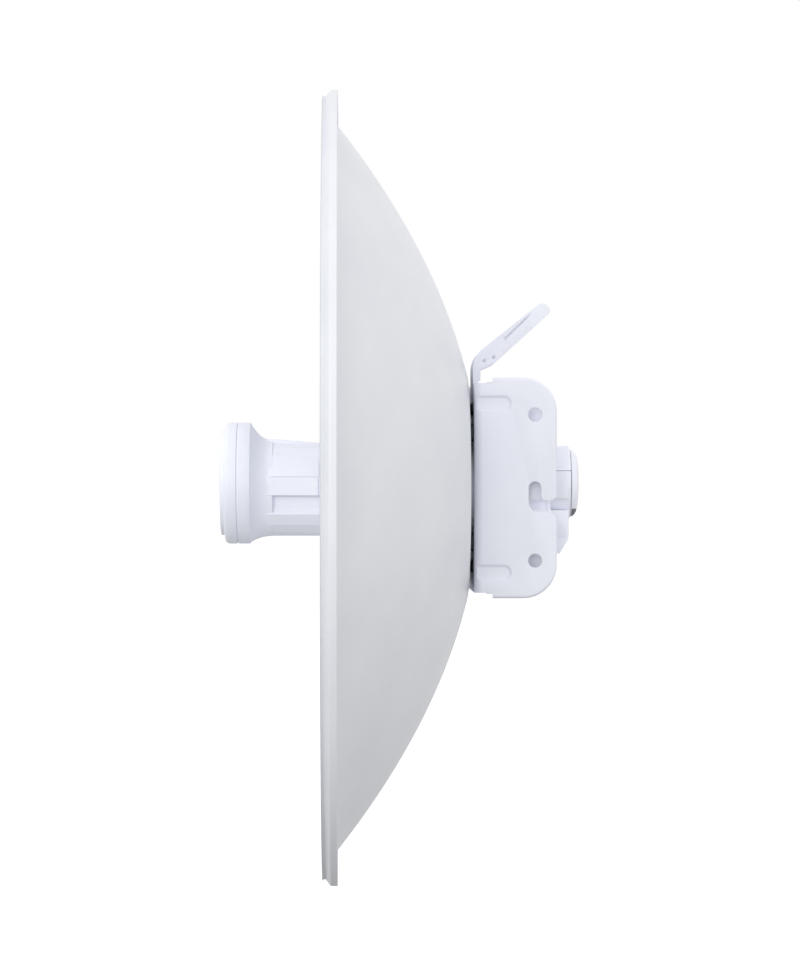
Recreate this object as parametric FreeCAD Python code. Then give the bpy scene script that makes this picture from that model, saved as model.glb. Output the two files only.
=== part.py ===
import FreeCAD, Part
import math
import os
from FreeCAD import Placement, Rotation, Vector

# A 0.42 m dish antenna whose radio sits inside its feed, in millimetres.
# The dish looks along -Y, +X is to the side and +Z is up. The origin is the centre of the hook seat,
# midway between the two bracket flanges, level with the dish axis. Each function below makes one
# sub-part where it sits, and the list at the end writes one STEP file for each.

# ---- driving dimensions: the dish ----
RIM_RADIUS = 210.0            # outside of the rolled rim
RIM_FACE_RADIUS = 204.4       # outer edge of the flat front lip
RIM_FRONT_Y = -110.6          # foremost plane of the dish
RIM_SHOULDER_Y = -106.3       # where the rim's bevel meets its skirt
RIM_REAR_Y = -102.6           # rear edge of the skirt
DISH_SHEET = 1.5
DISH_VERTEX_Y = -26.8         # the back surface is y = vertex - r^2 / (4 focal)
DISH_FOCAL = 120.65
BASE_RADIUS = 59.4            # the pressed flat at the back
DISH_HOLE_RADIUS = 29.0
STUD_X = 25.0                 # the four screws that hold dish and bracket together
STUD_Z = 28.6
STUD_RADIUS = 2.0
STUD_HOLE_RADIUS = 2.2
RIM_ROUND = 1.3

# ---- the bracket ----
SPACER = 2.6                  # gap between the dish and the bracket web
SHEET = 2.5
FLANGE_X = 37.0               # outer face of each flange
FLANGE_REAR_Y = 11.5
FLANGE_START_Y = -22.0        # the flange reaches its full height behind this
FLANGE_TOP = 57.5
WEB_TOP = 54.6
FLANGE_CORNER = 17.7
FLANGE_EDGE_ROUND = 1.8
BEND_OUTSIDE = 4.5
TILT_HOLE_Z = 38.0
TILT_HOLE_RADIUS = 3.5
SEAT_RADIUS = 3.35
SLOT_TOP_Z = -6.5             # the level part of the hook slot
SLOT_BOTTOM_Z = -12.4
RIB_Z = 44.0                  # the pressed stiffening channels
RIB_REAR_Y = -12.0
RIB_HEIGHT = 8.3
RIB_DEPTH = 1.3

# ---- the hanging loop ----
LOOP_BEND_RADIUS = 14.0
LOOP_BEND_Z = 62.4
LOOP_TILT = 51.3              # degrees back from upright
LOOP_HALF_WIDTH = 17.0
LOOP_LENGTH = 42.3            # from the end of the bend to the tip
LIP_SHEET = 2.2
LIP_DEPTH_LOW = 9.8
LIP_DEPTH_HIGH = 7.4

# ---- the feed ----
HEAD_AXIS_Z = 2.6             # axis of the round head
TUBE_AXIS_Z = -0.5            # axis of the faceted tube and of its bore
BARREL_AXIS_Z = 2.5           # axis of the rear barrel, its bore and its end cap
HEAD_RADIUS = 32.2
HEAD_FRONT_Y = -164.6
CAP_REAR_Y = -155.8
SEAM = 0.5                    # the line between the cap and the head base
HEAD_REAR_Y = -148.6
NECK_Y = -142.8
TUBE_FRONT_Y = -137.2
TUBE_REAR_Y = -20.5
TUBE_RADIUS = 25.0
TUBE_WALL = 2.0
SHELL_SPLIT_Z = -4.2
BARREL_RADIUS = 18.0
BARREL_NECK_RADIUS = 15.4
BARREL_REAR_Y = 19.6
END_CAP_RADIUS = 17.8
END_CAP_FRONT_Y = 20.6
END_CAP_REAR_Y = 24.8
VENT_TOP_Z = -11.0            # the vent seal fills the end cap's rim below this
SHELL_SCREWS = [(x, y) for y in (-105.0, -36.0) for x in (-12.0, 12.0)]
SHELL_HEAD_RADIUS = 2.3
SHELL_HEAD_Z = -19.2
SCREW_SHANK = 1.2
SCREW_END_Z = 10.0
# Half of the tube's outline, (x, z), from the top middle down to the bottom middle.
UPPER_HALF = [(6.5, 23.6), (12.7, 21.0), (18.0, 16.7), (24.3, 5.2), (24.5, SHELL_SPLIT_Z)]
LOWER_HALF = [(21.6, SHELL_SPLIT_Z), (20.2, -12.4), (21.3, -13.4), (16.0, -19.6), (9.0, -23.7),
              (2.0, -25.4)]

# ---- inside the feed ----
BOARD = 1.6                   # thickness of the circuit board
BOARD_Z = 2.2                 # its lower face
BOARD_X = 10.0                # half its width in the barrel
BOARD_WIDE_X = 17.0           # half its width in the tube
BOARD_FRONT_Y = -128.0
CAN_X = 13.0                  # the shield can, the pad on it and the heat spreader on that
CAN_FRONT_Y = -100.0
CAN_REAR_Y = -52.0
CAN_HEIGHT = 4.0
CAN_SHEET = 0.3
PAD = 1.0
SPREADER = 2.0
FIN_HEIGHT = 6.0
FIN_PITCH = 4
ELEMENT_RADIUS = 21.0
ELEMENT_FRONT_Y = -154.0
JACK_X = 8.0
JACK_FRONT_Y = -1.5
JACK_REAR_Y = 12.5
JACK_BOTTOM_Z = -13.2
RESET_RADIUS = 1.3
RESET_X = 0.0
RESET_Y = -8.0
SWITCH = 1.6
LIGHT_RADIUS = 1.3
LIGHT_Z = 8.0

# ---- the rear housing ----
HOUSING_X = 31.0
HOUSING_Z = 50.0
HOUSING_REAR_Y = 9.0
HOUSING_WALL = 2.4
HOUSING_CORNER = 20.0
NECK_FRONT_Y = -38.0
NECK_RADIUS = 27.5
TUBE_BORE_RADIUS = 25.4
BARREL_BORE_RADIUS = 18.4
SLEEVE_RADIUS = 19.9
SLEEVE_REAR_Y = 20.1
GROOVE_TOP_Z = -6.0
GROOVE_BOTTOM_Z = -11.2
SLIDER_SEAM_Z = 8.9
COVER_TOP_Z = -11.7
COVER_REAR_Y = 19.0
COVER_BOTTOM_Z = -34.5
COVER_X = 20.0
RUNNING_GAP = 0.3             # between pieces that slide on each other
SLIP = 0.1                    # between moulded pieces that are pushed together
SEAT_FLANGE_RADIUS = 28.4     # the sleeve's flange, against the inside of the housing's front wall
GROOVE_FLOOR_X = 23.5
GROOVE_FRONT_Y = -2.0
RAIL_X = 21.0                 # the two rails beside the sleeve that the slider's sides stop on
BAY_X = 17.0                  # the cable bay, half its width
BAY_FRONT_Y = -4.0
BAY_TOP_Z = -18.0
BAY_BOTTOM_Z = -42.8
BAY_MOUTH_Z = -33.0           # lower edge of its opening in the housing's back
BAY_ROUND = 3.0
GROMMET_RADIUS = 4.7
GROMMET_Y = 1.3
CABLE_RADIUS = 2.9

# ---- the release ----
LATCH_X = 5.0
LATCH_FRONT_Y = -9.0
LATCH_REAR_Y = -2.0
LATCH_Z = 24.4                # underside and top of the latch plate
LATCH_TOP_Z = 27.4
GUIDE_WALL = 2.0
SPRING_STOP_Z = 38.0
TONGUE_X = 6.0
TONGUE_FRONT_Y = -1.0
TONGUE_Z = 21.3               # underside and top of the slider's tongue, and the top of its wedge
TONGUE_TOP_Z = 22.3
WEDGE_TOP_Z = 23.4
SLIDER_FRONT_Y = 11.8

# ---- fasteners ----
HOUSING_SCREW_RADIUS = 1.5
HOUSING_SCREW_X = 20.0
HOUSING_SCREW_Z = 41.5
HOUSING_SCREW_REACH = 10.0
SCREW_BOSS = 4.0
WASHER = 0.9
NUT = 3.2
NUT_FLATS = 7.0

# ---- worked out from the above ----
DISH_BACK_Y = DISH_VERTEX_Y - BASE_RADIUS ** 2 / (4 * DISH_FOCAL)
DISH_FRONT_Y = DISH_BACK_Y - DISH_SHEET
WEB_FRONT_Y = DISH_BACK_Y + SPACER
WEB_REAR_Y = WEB_FRONT_Y + SHEET
FLANGE_INSIDE_X = FLANGE_X - SHEET
GASKET_FRONT_Y = DISH_FRONT_Y - 0.6
SCREW_BOSS_END_Y = WEB_REAR_Y + 14.0
HOUSING_BACK_Y = HOUSING_REAR_Y - HOUSING_WALL
LOOP_SIN = math.sin(math.radians(LOOP_TILT))
LOOP_COS = math.cos(math.radians(LOOP_TILT))
TINY = 0.01


# ---- shape helpers ----
def block(x0, x1, y0, y1, z0, z1):
    return Part.makeBox(x1 - x0, y1 - y0, z1 - z0, Vector(x0, y0, z0))


def rounded_block(x0, x1, y0, y1, z0, z1, radius, along):
    """A block whose four edges along one axis are rounded."""
    solid = block(x0, x1, y0, y1, z0, z1)
    axis = {"x": Vector(1, 0, 0), "y": Vector(0, 1, 0), "z": Vector(0, 0, 1)}[along]
    edges = [edge for edge in solid.Edges if abs(edge.tangentAt(0).dot(axis)) > 0.99]
    return solid.makeFillet(radius, edges)


def rod_x(radius, x0, x1, y, z):
    return Part.makeCylinder(radius, x1 - x0, Vector(x0, y, z), Vector(1, 0, 0))


def rod_y(radius, y0, y1, x, z):
    return Part.makeCylinder(radius, y1 - y0, Vector(x, y0, z), Vector(0, 1, 0))


def rod_z(radius, z0, z1, x, y):
    return Part.makeCylinder(radius, z1 - z0, Vector(x, y, z0), Vector(0, 0, 1))


def ring_y(outer, inner, y0, y1, x, z):
    return rod_y(outer, y0, y1, x, z).cut(rod_y(inner, y0 - 1, y1 + 1, x, z))


def arc(centre, radius, start, end):
    """An arc step for an outline: its middle point and its end point, angles in degrees."""
    points = []
    for angle in ((start + end) / 2, end):
        turn = math.radians(angle)
        points.append((centre[0] + radius * math.cos(turn), centre[1] + radius * math.sin(turn)))
    return tuple(points)


def outline(place, start, steps):
    """A closed wire. A step is a point to go straight to, or the two points of an arc."""
    edges = []
    last = place(*start)
    for step in steps:
        if isinstance(step[0], tuple):
            end = place(*step[1])
            edges.append(Part.Arc(last, place(*step[0]), end).toShape())
        else:
            end = place(*step)
            edges.append(Part.makeLine(last, end))
        last = end
    first = place(*start)
    if last.distanceToPoint(first) > TINY:
        edges.append(Part.makeLine(last, first))
    return Part.Wire(edges)


def prism_x(start, steps, x0, x1):
    """An outline in (y, z), extruded along X."""
    wire = outline(lambda y, z: Vector(x0, y, z), start, steps)
    return Part.Face(wire).extrude(Vector(x1 - x0, 0, 0))


def prism_y(start, steps, y0, y1):
    """An outline in (x, z), extruded along Y."""
    wire = outline(lambda x, z: Vector(x, y0, z), start, steps)
    return Part.Face(wire).extrude(Vector(0, y1 - y0, 0))


def turned(start, steps, axis_z):
    """A profile in (radius, y), turned about the line along Y at height axis_z."""
    wire = outline(lambda r, y: Vector(r, y, axis_z), start, steps)
    return Part.Face(wire).revolve(Vector(0, 0, axis_z), Vector(0, 1, 0), 360)


def fused(shapes):
    return shapes[0].multiFuse(list(shapes[1:])).removeSplitter() if len(shapes) > 1 else shapes[0]


def both_sides(shape):
    """The shape and its mirror image across the middle plane."""
    return [shape, shape.mirror(Vector(0, 0, 0), Vector(1, 0, 0))]


def studs(make):
    """One copy of a fastener at each of the four stud places, as separate solids."""
    return Part.makeCompound([make(x, z) for x in (-STUD_X, STUD_X) for z in (-STUD_Z, STUD_Z)])


def hexagon(across_flats, y0, y1, x, z):
    corner = across_flats / math.sqrt(3)
    points = []
    for turn in range(6):
        angle = math.radians(60 * turn)
        points.append((x + corner * math.cos(angle), z + corner * math.sin(angle)))
    return prism_y(points[0], points[1:], y0, y1)


# ---- the dish ----
def dish_curve(offset, first, last, count):
    """Points (radius, y) on the dish's back surface, or offset from it towards the focus."""
    points = []
    for index in range(count):
        radius = first + (last - first) * index / (count - 1)
        slope = radius / (2 * DISH_FOCAL)
        length = math.hypot(1, slope)
        points.append((radius - offset * slope / length,
                       DISH_VERTEX_Y - radius * slope / 2 - offset / length))
    return points


def spline_edge(points):
    curve = Part.BSplineCurve()
    curve.interpolate([Vector(radius, y, 0) for radius, y in points])
    return curve.toShape()


def dish_reflector():
    """The pressed sheet: flat base, parabola, front lip, bevel and turned-back skirt."""
    lip_back_y = RIM_FRONT_Y + DISH_SHEET
    back_end = math.sqrt((DISH_VERTEX_Y - lip_back_y) * 4 * DISH_FOCAL)
    back = dish_curve(0, BASE_RADIUS, back_end, 12)
    front = dish_curve(DISH_SHEET, BASE_RADIUS, back_end + 0.4, 12)
    front[0] = (BASE_RADIUS - 0.2, DISH_FRONT_Y)
    front[-1] = (front[-1][0], RIM_FRONT_Y)
    bevel_inset = DISH_SHEET * 0.4
    inner_skirt = RIM_RADIUS - DISH_SHEET
    rim = [front[-1], (RIM_FACE_RADIUS, RIM_FRONT_Y), (RIM_RADIUS, RIM_SHOULDER_Y),
           (RIM_RADIUS, RIM_REAR_Y), (inner_skirt, RIM_REAR_Y),
           (inner_skirt, RIM_SHOULDER_Y + bevel_inset), (RIM_FACE_RADIUS - bevel_inset, lip_back_y),
           back[-1]]
    base = [back[0], (DISH_HOLE_RADIUS, DISH_BACK_Y), (DISH_HOLE_RADIUS, DISH_FRONT_Y), front[0]]
    edges = [spline_edge(front), spline_edge(back)]
    for chain in (rim, base):
        for start, end in zip(chain, chain[1:]):
            edges.append(Part.makeLine(Vector(start[0], start[1], 0), Vector(end[0], end[1], 0)))
    profile = Part.Face(Part.Wire(Part.__sortEdges__(edges)))
    sheet = profile.revolve(Vector(0, 0, 0), Vector(0, 1, 0), 360)
    rounded = [edge for edge in sheet.Edges if is_rim_corner(edge)]
    sheet = sheet.makeFillet(RIM_ROUND, rounded)
    return sheet.cut(studs(lambda x, z: rod_y(STUD_HOLE_RADIUS, DISH_FRONT_Y - 1, DISH_BACK_Y + 1, x, z)))


def is_rim_corner(edge):
    """The two circles where the bevel meets the lip and the skirt on the outside."""
    point = edge.Vertexes[0].Point
    radius = math.hypot(point.x, point.z)
    on_lip = abs(radius - RIM_FACE_RADIUS) < TINY and abs(point.y - RIM_FRONT_Y) < TINY
    on_skirt = abs(radius - RIM_RADIUS) < TINY and abs(point.y - RIM_SHOULDER_Y) < TINY
    return edge.Closed and (on_lip or on_skirt)


# ---- the bracket ----
def hook_slot_steps():
    """The J-shaped slot in (y, z): up from the seat, down, round and out through the rear edge."""
    finger = 2.0
    upper_mouth = 4.0
    lower_mouth = 5.5
    elbow = 5.2
    outside_y = FLANGE_REAR_Y + 1
    start = (outside_y, SLOT_TOP_Z + upper_mouth)
    steps = [
        (FLANGE_REAR_Y, SLOT_TOP_Z + upper_mouth),
        arc((FLANGE_REAR_Y - upper_mouth, SLOT_TOP_Z + upper_mouth), upper_mouth, 0, -90),
        (SEAT_RADIUS + finger, SLOT_TOP_Z),
        arc((SEAT_RADIUS + finger, SLOT_TOP_Z + finger), finger, -90, -180),
        (SEAT_RADIUS, 0),
        arc((0, 0), SEAT_RADIUS, 0, 180),
        (-SEAT_RADIUS, SLOT_BOTTOM_Z + elbow),
        arc((elbow - SEAT_RADIUS, SLOT_BOTTOM_Z + elbow), elbow, 180, 270),
        (FLANGE_REAR_Y - lower_mouth, SLOT_BOTTOM_Z),
        arc((FLANGE_REAR_Y - lower_mouth, SLOT_BOTTOM_Z - lower_mouth), lower_mouth, 90, 0),
        (outside_y, SLOT_BOTTOM_Z - lower_mouth),
    ]
    return start, steps


def flange():
    """The +X flange, with its outer outline rounded and its slot and tilt holes cut."""
    corner_y = FLANGE_REAR_Y - FLANGE_CORNER
    corner_z = FLANGE_TOP - FLANGE_CORNER
    plate = prism_x((FLANGE_START_Y, -FLANGE_TOP),
                    [(corner_y, -FLANGE_TOP), arc((corner_y, -corner_z), FLANGE_CORNER, -90, 0),
                     (FLANGE_REAR_Y, corner_z), arc((corner_y, corner_z), FLANGE_CORNER, 0, 90),
                     (FLANGE_START_Y, FLANGE_TOP)],
                    FLANGE_INSIDE_X, FLANGE_X)
    outer = [edge for edge in plate.Edges
             if all(abs(vertex.X - FLANGE_X) < TINY for vertex in edge.Vertexes)
             and not all(abs(vertex.Y - FLANGE_START_Y) < TINY for vertex in edge.Vertexes)]
    plate = plate.makeFillet(FLANGE_EDGE_ROUND, outer)
    start, steps = hook_slot_steps()
    plate = plate.cut(prism_x(start, steps, FLANGE_INSIDE_X - 1, FLANGE_X + 1))
    for z in (-TILT_HOLE_Z, TILT_HOLE_Z):
        edge_round = 0.5
        plate = plate.cut(rod_x(TILT_HOLE_RADIUS, FLANGE_INSIDE_X - 1, FLANGE_X + 1, 0, z))
        plate = plate.cut(Part.makeCone(TILT_HOLE_RADIUS, TILT_HOLE_RADIUS + edge_round, edge_round,
                                        Vector(FLANGE_X - edge_round, 0, z), Vector(1, 0, 0)))
    return plate


def channel_loft(x_wide, x_narrow, wide, narrow, z):
    """A round-ended channel that narrows with depth, from the web to RIB_REAR_Y."""
    wires = []
    for x, height in ((x_wide, wide), (x_narrow, narrow)):
        half = height / 2
        end_y = RIB_REAR_Y - wide / 2
        front_y = WEB_FRONT_Y - 2
        wires.append(outline(lambda y, level: Vector(x, y, level), (front_y, z - half),
                             [(end_y, z - half), arc((end_y, z), half, -90, 90), (front_y, z + half)]))
    return Part.makeLoft(wires, True)


def loop_point(along, depth):
    """A point (y, z) of the loop, along its tilted length and down from its upper face."""
    bend_y = WEB_FRONT_Y + LOOP_BEND_RADIUS
    start_y = bend_y - LOOP_BEND_RADIUS * LOOP_COS
    start_z = LOOP_BEND_Z + LOOP_BEND_RADIUS * LOOP_SIN
    return (start_y + along * LOOP_SIN + depth * LOOP_COS,
            start_z + along * LOOP_COS - depth * LOOP_SIN)


def loop_plan(radius):
    """A round-ended bar seen square to the loop, as deep as the whole neck."""
    centre = LOOP_LENGTH - LOOP_HALF_WIDTH
    reach = 60.0
    bar = block(-radius, radius, -reach, reach, -reach, centre)
    tip = Part.makeCylinder(radius, 2 * reach, Vector(0, -reach, centre), Vector(0, 1, 0))
    return laid_on_loop(bar.fuse(tip))


def laid_on_loop(shape):
    """Tilt a shape drawn with the loop upright along Z and its depth along Y."""
    y, z = loop_point(0, 0)
    shape.Placement = Placement(Vector(0, y, z), Rotation(Vector(1, 0, 0), -LOOP_TILT))
    return shape


def hanging_loop():
    """The neck, its bend and the finger loop with a return lip, drawn from the web's top edge."""
    bend = (WEB_FRONT_Y + LOOP_BEND_RADIUS, LOOP_BEND_Z)
    turn_end = 180 - LOOP_TILT
    tip_round = 5.9
    root_z = WEB_TOP - 4
    neck_rear_y = WEB_FRONT_Y + 4.0
    side = prism_x((WEB_FRONT_Y, root_z),
                   [(WEB_FRONT_Y, LOOP_BEND_Z), arc(bend, LOOP_BEND_RADIUS, 180, turn_end),
                    loop_point(LOOP_LENGTH - tip_round, 0),
                    (loop_point(LOOP_LENGTH - 1.6, 1.3), loop_point(LOOP_LENGTH, 4.6)),
                    (loop_point(LOOP_LENGTH - 1.3, 6.6), loop_point(LOOP_LENGTH - 3.9, LIP_DEPTH_HIGH)),
                    loop_point(0, LIP_DEPTH_LOW), (neck_rear_y, LOOP_BEND_Z),
                    (neck_rear_y, WEB_TOP + 2), (WEB_REAR_Y, WEB_TOP + 1), (WEB_REAR_Y, root_z)],
                   -LOOP_HALF_WIDTH, LOOP_HALF_WIDTH)
    inner_half = LOOP_HALF_WIDTH - LIP_SHEET
    clear_depth = LIP_DEPTH_LOW + 4
    hollow = prism_x((WEB_REAR_Y, root_z - 1),
                     [(WEB_REAR_Y, LOOP_BEND_Z), arc(bend, LOOP_BEND_RADIUS - SHEET, 180, turn_end),
                      loop_point(LOOP_LENGTH, SHEET), loop_point(LOOP_LENGTH, clear_depth),
                      loop_point(0, clear_depth), (WEB_REAR_Y + clear_depth, root_z - 1)],
                     -inner_half, inner_half)
    shell = side.common(loop_plan(LOOP_HALF_WIDTH)).cut(hollow.common(loop_plan(inner_half)))
    hole_radius = 9.5
    hole_top = LOOP_LENGTH - LOOP_HALF_WIDTH
    hole_low = hole_top - 10.0
    finger = block(-hole_radius, hole_radius, -5, 5, hole_low, hole_top)
    for level in (hole_low, hole_top):
        finger = finger.fuse(rod_y(hole_radius, -5, 5, 0, level))
    shell = shell.cut(laid_on_loop(finger.removeSplitter()))
    relief_x = LOOP_HALF_WIDTH - 1.3
    dent_radius = 0.9
    relief = prism_x(loop_point(12, 2.6), [loop_point(34, 0.9), loop_point(34, 1.5), loop_point(12, 3.9)],
                     relief_x, LOOP_HALF_WIDTH + 1)
    dents = [rod_x(dent_radius, relief_x, LOOP_HALF_WIDTH + 1, *loop_point(along, depth))
             for along, depth in ((-3.4, 5.4), (1.6, 7.2))]
    for tool in [relief] + dents:
        for side_tool in both_sides(tool):
            shell = shell.cut(side_tool)
    return shell


def mounting_bracket():
    """One bent sheet: web, two flanges and the loop that carries on upwards from the web."""
    channel = block(-FLANGE_X, FLANGE_X, WEB_FRONT_Y, FLANGE_START_Y, -WEB_TOP, WEB_TOP)
    front = [edge for edge in channel.Edges
             if all(abs(vertex.Y - WEB_FRONT_Y) < TINY for vertex in edge.Vertexes)
             and abs(edge.tangentAt(0).z) > 0.99]
    channel = channel.makeFillet(BEND_OUTSIDE, front)
    inside = block(-FLANGE_INSIDE_X, FLANGE_INSIDE_X, WEB_REAR_Y, FLANGE_START_Y + 5,
                   -FLANGE_TOP, FLANGE_TOP)
    front = [edge for edge in inside.Edges
             if all(abs(vertex.Y - WEB_REAR_Y) < TINY for vertex in edge.Vertexes)
             and abs(edge.tangentAt(0).z) > 0.99]
    channel = channel.cut(inside.makeFillet(BEND_OUTSIDE - SHEET, front))
    body = fused([channel, hanging_loop()] + both_sides(flange()))
    narrow = RIB_HEIGHT - 2 * RIB_DEPTH
    for z in (-RIB_Z, RIB_Z):
        pressed = channel_loft(FLANGE_INSIDE_X, FLANGE_INSIDE_X - RIB_DEPTH, RIB_HEIGHT, narrow, z)
        kept = block(0, FLANGE_X, WEB_REAR_Y - 1, FLANGE_REAR_Y, z - RIB_HEIGHT, z + RIB_HEIGHT)
        for bump in both_sides(pressed.common(kept)):
            body = body.fuse(bump)
        for groove in both_sides(channel_loft(FLANGE_X, FLANGE_X - RIB_DEPTH, RIB_HEIGHT, narrow, z)):
            body = body.cut(groove)
    body = body.cut(rod_y(NECK_RADIUS + 0.5, WEB_FRONT_Y - 1, WEB_REAR_Y + 1, 0, TUBE_AXIS_Z))
    body = body.cut(studs(lambda x, z: rod_y(STUD_HOLE_RADIUS, WEB_FRONT_Y - 1, WEB_REAR_Y + 1, x, z)))
    for x, z in housing_screw_places():
        body = body.cut(rod_y(HOUSING_SCREW_RADIUS + 0.2, WEB_FRONT_Y - 1, WEB_REAR_Y + 1, x, z))
    return body.removeSplitter()


# ---- fasteners ----
def housing_screw_places():
    return [(x, z) for x in (-HOUSING_SCREW_X, HOUSING_SCREW_X)
            for z in (-HOUSING_SCREW_Z, HOUSING_SCREW_Z)]


def stud_end_y():
    return WEB_REAR_Y + WASHER + NUT + 0.5


def button_head_screw(x, z):
    """A domed socket screw, put in from the dish's front."""
    head_radius = 3.8
    head_height = 2.2
    top_y = DISH_FRONT_Y - head_height
    head = rod_y(head_radius, top_y, DISH_FRONT_Y, x, z)
    crown = [edge for edge in head.Edges if edge.Closed and abs(edge.Vertexes[0].Y - top_y) < TINY]
    head = head.makeFillet(1.6, crown)
    socket = hexagon(2.5, top_y - 1, top_y + 1.3, x, z)
    shank = rod_y(STUD_RADIUS, DISH_FRONT_Y, stud_end_y(), x, z)
    return head.fuse(shank).cut(socket)


def spacer_ring(x, z):
    return ring_y(5.0, STUD_HOLE_RADIUS, DISH_BACK_Y, WEB_FRONT_Y, x, z)


def lock_washer(x, z):
    """A split spring washer, closed up flat."""
    ring = ring_y(3.8, STUD_HOLE_RADIUS, WEB_REAR_Y, WEB_REAR_Y + WASHER, x, z)
    return ring.cut(block(x - 0.4, x + 0.4, WEB_REAR_Y - 1, WEB_REAR_Y + WASHER + 1, z, z + 5))


def nut(x, z):
    near = WEB_REAR_Y + WASHER
    body = hexagon(NUT_FLATS, near, near + NUT, x, z)
    return body.cut(rod_y(STUD_RADIUS + 0.05, near - 1, near + NUT + 1, x, z))


def housing_screws():
    """Four low-headed screws through the web into the housing's bosses."""
    screws = []
    for x, z in housing_screw_places():
        head = rod_y(3.4, WEB_FRONT_Y - 1.5, WEB_FRONT_Y, x, z)
        recess = block(x - 1.6, x + 1.6, WEB_FRONT_Y - 2, WEB_FRONT_Y - 0.8, z - 0.4, z + 0.4)
        upright = block(x - 0.4, x + 0.4, WEB_FRONT_Y - 2, WEB_FRONT_Y - 0.8, z - 1.6, z + 1.6)
        shank = rod_y(HOUSING_SCREW_RADIUS, WEB_FRONT_Y, WEB_REAR_Y + 10, x, z)
        screws.append(head.fuse(shank).cut(recess.fuse(upright)))
    return Part.makeCompound(screws)


# ---- the rear housing and what stays with it ----
def housing_block(front_y, rear_y, inset):
    """The housing's rounded outline between two planes, moved in by inset all round."""
    return rounded_block(inset - HOUSING_X, HOUSING_X - inset, front_y, rear_y,
                         inset - HOUSING_Z, HOUSING_Z - inset, HOUSING_CORNER - inset, "y")


def side_grooves():
    """The two level grooves in the housing's sides, in line with the bracket's hook slots."""
    return both_sides(block(GROOVE_FLOOR_X, HOUSING_X + 1, GROOVE_FRONT_Y, HOUSING_REAR_Y + 1,
                            GROOVE_BOTTOM_Z, GROOVE_TOP_Z))


def rear_housing():
    """The moulded tub between the flanges, closed in front, with its bosses and side grooves."""
    stud_boss = 6.4
    stud_boss_length = 7.0
    stud_pocket = 5.0
    shell = housing_block(WEB_REAR_Y, HOUSING_BACK_Y, 0)
    cavity = housing_block(WEB_REAR_Y + HOUSING_WALL, HOUSING_BACK_Y + 1, HOUSING_WALL)
    added = [rod_y(SCREW_BOSS, WEB_REAR_Y, SCREW_BOSS_END_Y, x, z) for x, z in housing_screw_places()]
    added += [rod_y(stud_boss, WEB_REAR_Y, WEB_REAR_Y + stud_boss_length, x, z)
              for x in (-STUD_X, STUD_X) for z in (-STUD_Z, STUD_Z)]
    added += both_sides(block(GROOVE_FLOOR_X - HOUSING_WALL, HOUSING_X, GROOVE_FRONT_Y - HOUSING_WALL,
                              HOUSING_BACK_Y, GROOVE_BOTTOM_Z - HOUSING_WALL, GROOVE_TOP_Z + HOUSING_WALL))
    body = fused([shell.cut(cavity)] + [piece.common(shell) for piece in added])
    cuts = [rod_y(NECK_RADIUS + SLIP, WEB_REAR_Y - 1, WEB_REAR_Y + HOUSING_WALL + 1, 0, TUBE_AXIS_Z)]
    cuts += [rod_y(stud_pocket, WEB_REAR_Y - 1, WEB_REAR_Y + stud_boss_length - 1.5, x, z)
             for x in (-STUD_X, STUD_X) for z in (-STUD_Z, STUD_Z)]
    cuts += [rod_y(HOUSING_SCREW_RADIUS + SLIP, WEB_REAR_Y - 1, WEB_REAR_Y + HOUSING_SCREW_REACH + 1, x, z)
             for x, z in housing_screw_places()]
    cuts += side_grooves()
    cuts.append(rod_z(GROMMET_RADIUS, -HOUSING_Z - 1, -HOUSING_Z + HOUSING_WALL + 1, 0, GROMMET_Y))
    for tool in cuts:
        body = body.cut(tool)
    return body.removeSplitter()


def housing_back():
    """The flat plate that closes the housing behind, with the sleeve's hole and the bay's mouth."""
    plate = housing_block(HOUSING_BACK_Y, HOUSING_REAR_Y, 0)
    rear = [edge for edge in plate.Edges
            if all(abs(vertex.Y - HOUSING_REAR_Y) < TINY for vertex in edge.Vertexes)]
    plate = plate.makeFillet(1.0, rear)
    near_y = HOUSING_BACK_Y - 1
    far_y = HOUSING_REAR_Y + 1
    cuts = [rod_y(SLEEVE_RADIUS + SLIP, near_y, far_y, 0, BARREL_AXIS_Z),
            block(-TONGUE_X - RUNNING_GAP, TONGUE_X + RUNNING_GAP, near_y, far_y, BARREL_AXIS_Z,
                  WEDGE_TOP_Z + RUNNING_GAP),
            rounded_block(-BAY_X, BAY_X, near_y, far_y, BAY_MOUTH_Z, BAY_TOP_Z, BAY_ROUND, "y"),
            jack_passage()]
    for tool in cuts + side_grooves():
        plate = plate.cut(tool)
    return plate


def jack_passage():
    """The way through the sleeve's underside for the network socket, down into the bay."""
    gap = 0.4
    return block(-JACK_X - gap, JACK_X + gap, JACK_FRONT_Y - gap, JACK_REAR_Y + gap,
                 BAY_TOP_Z - 1, BARREL_AXIS_Z)


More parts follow.
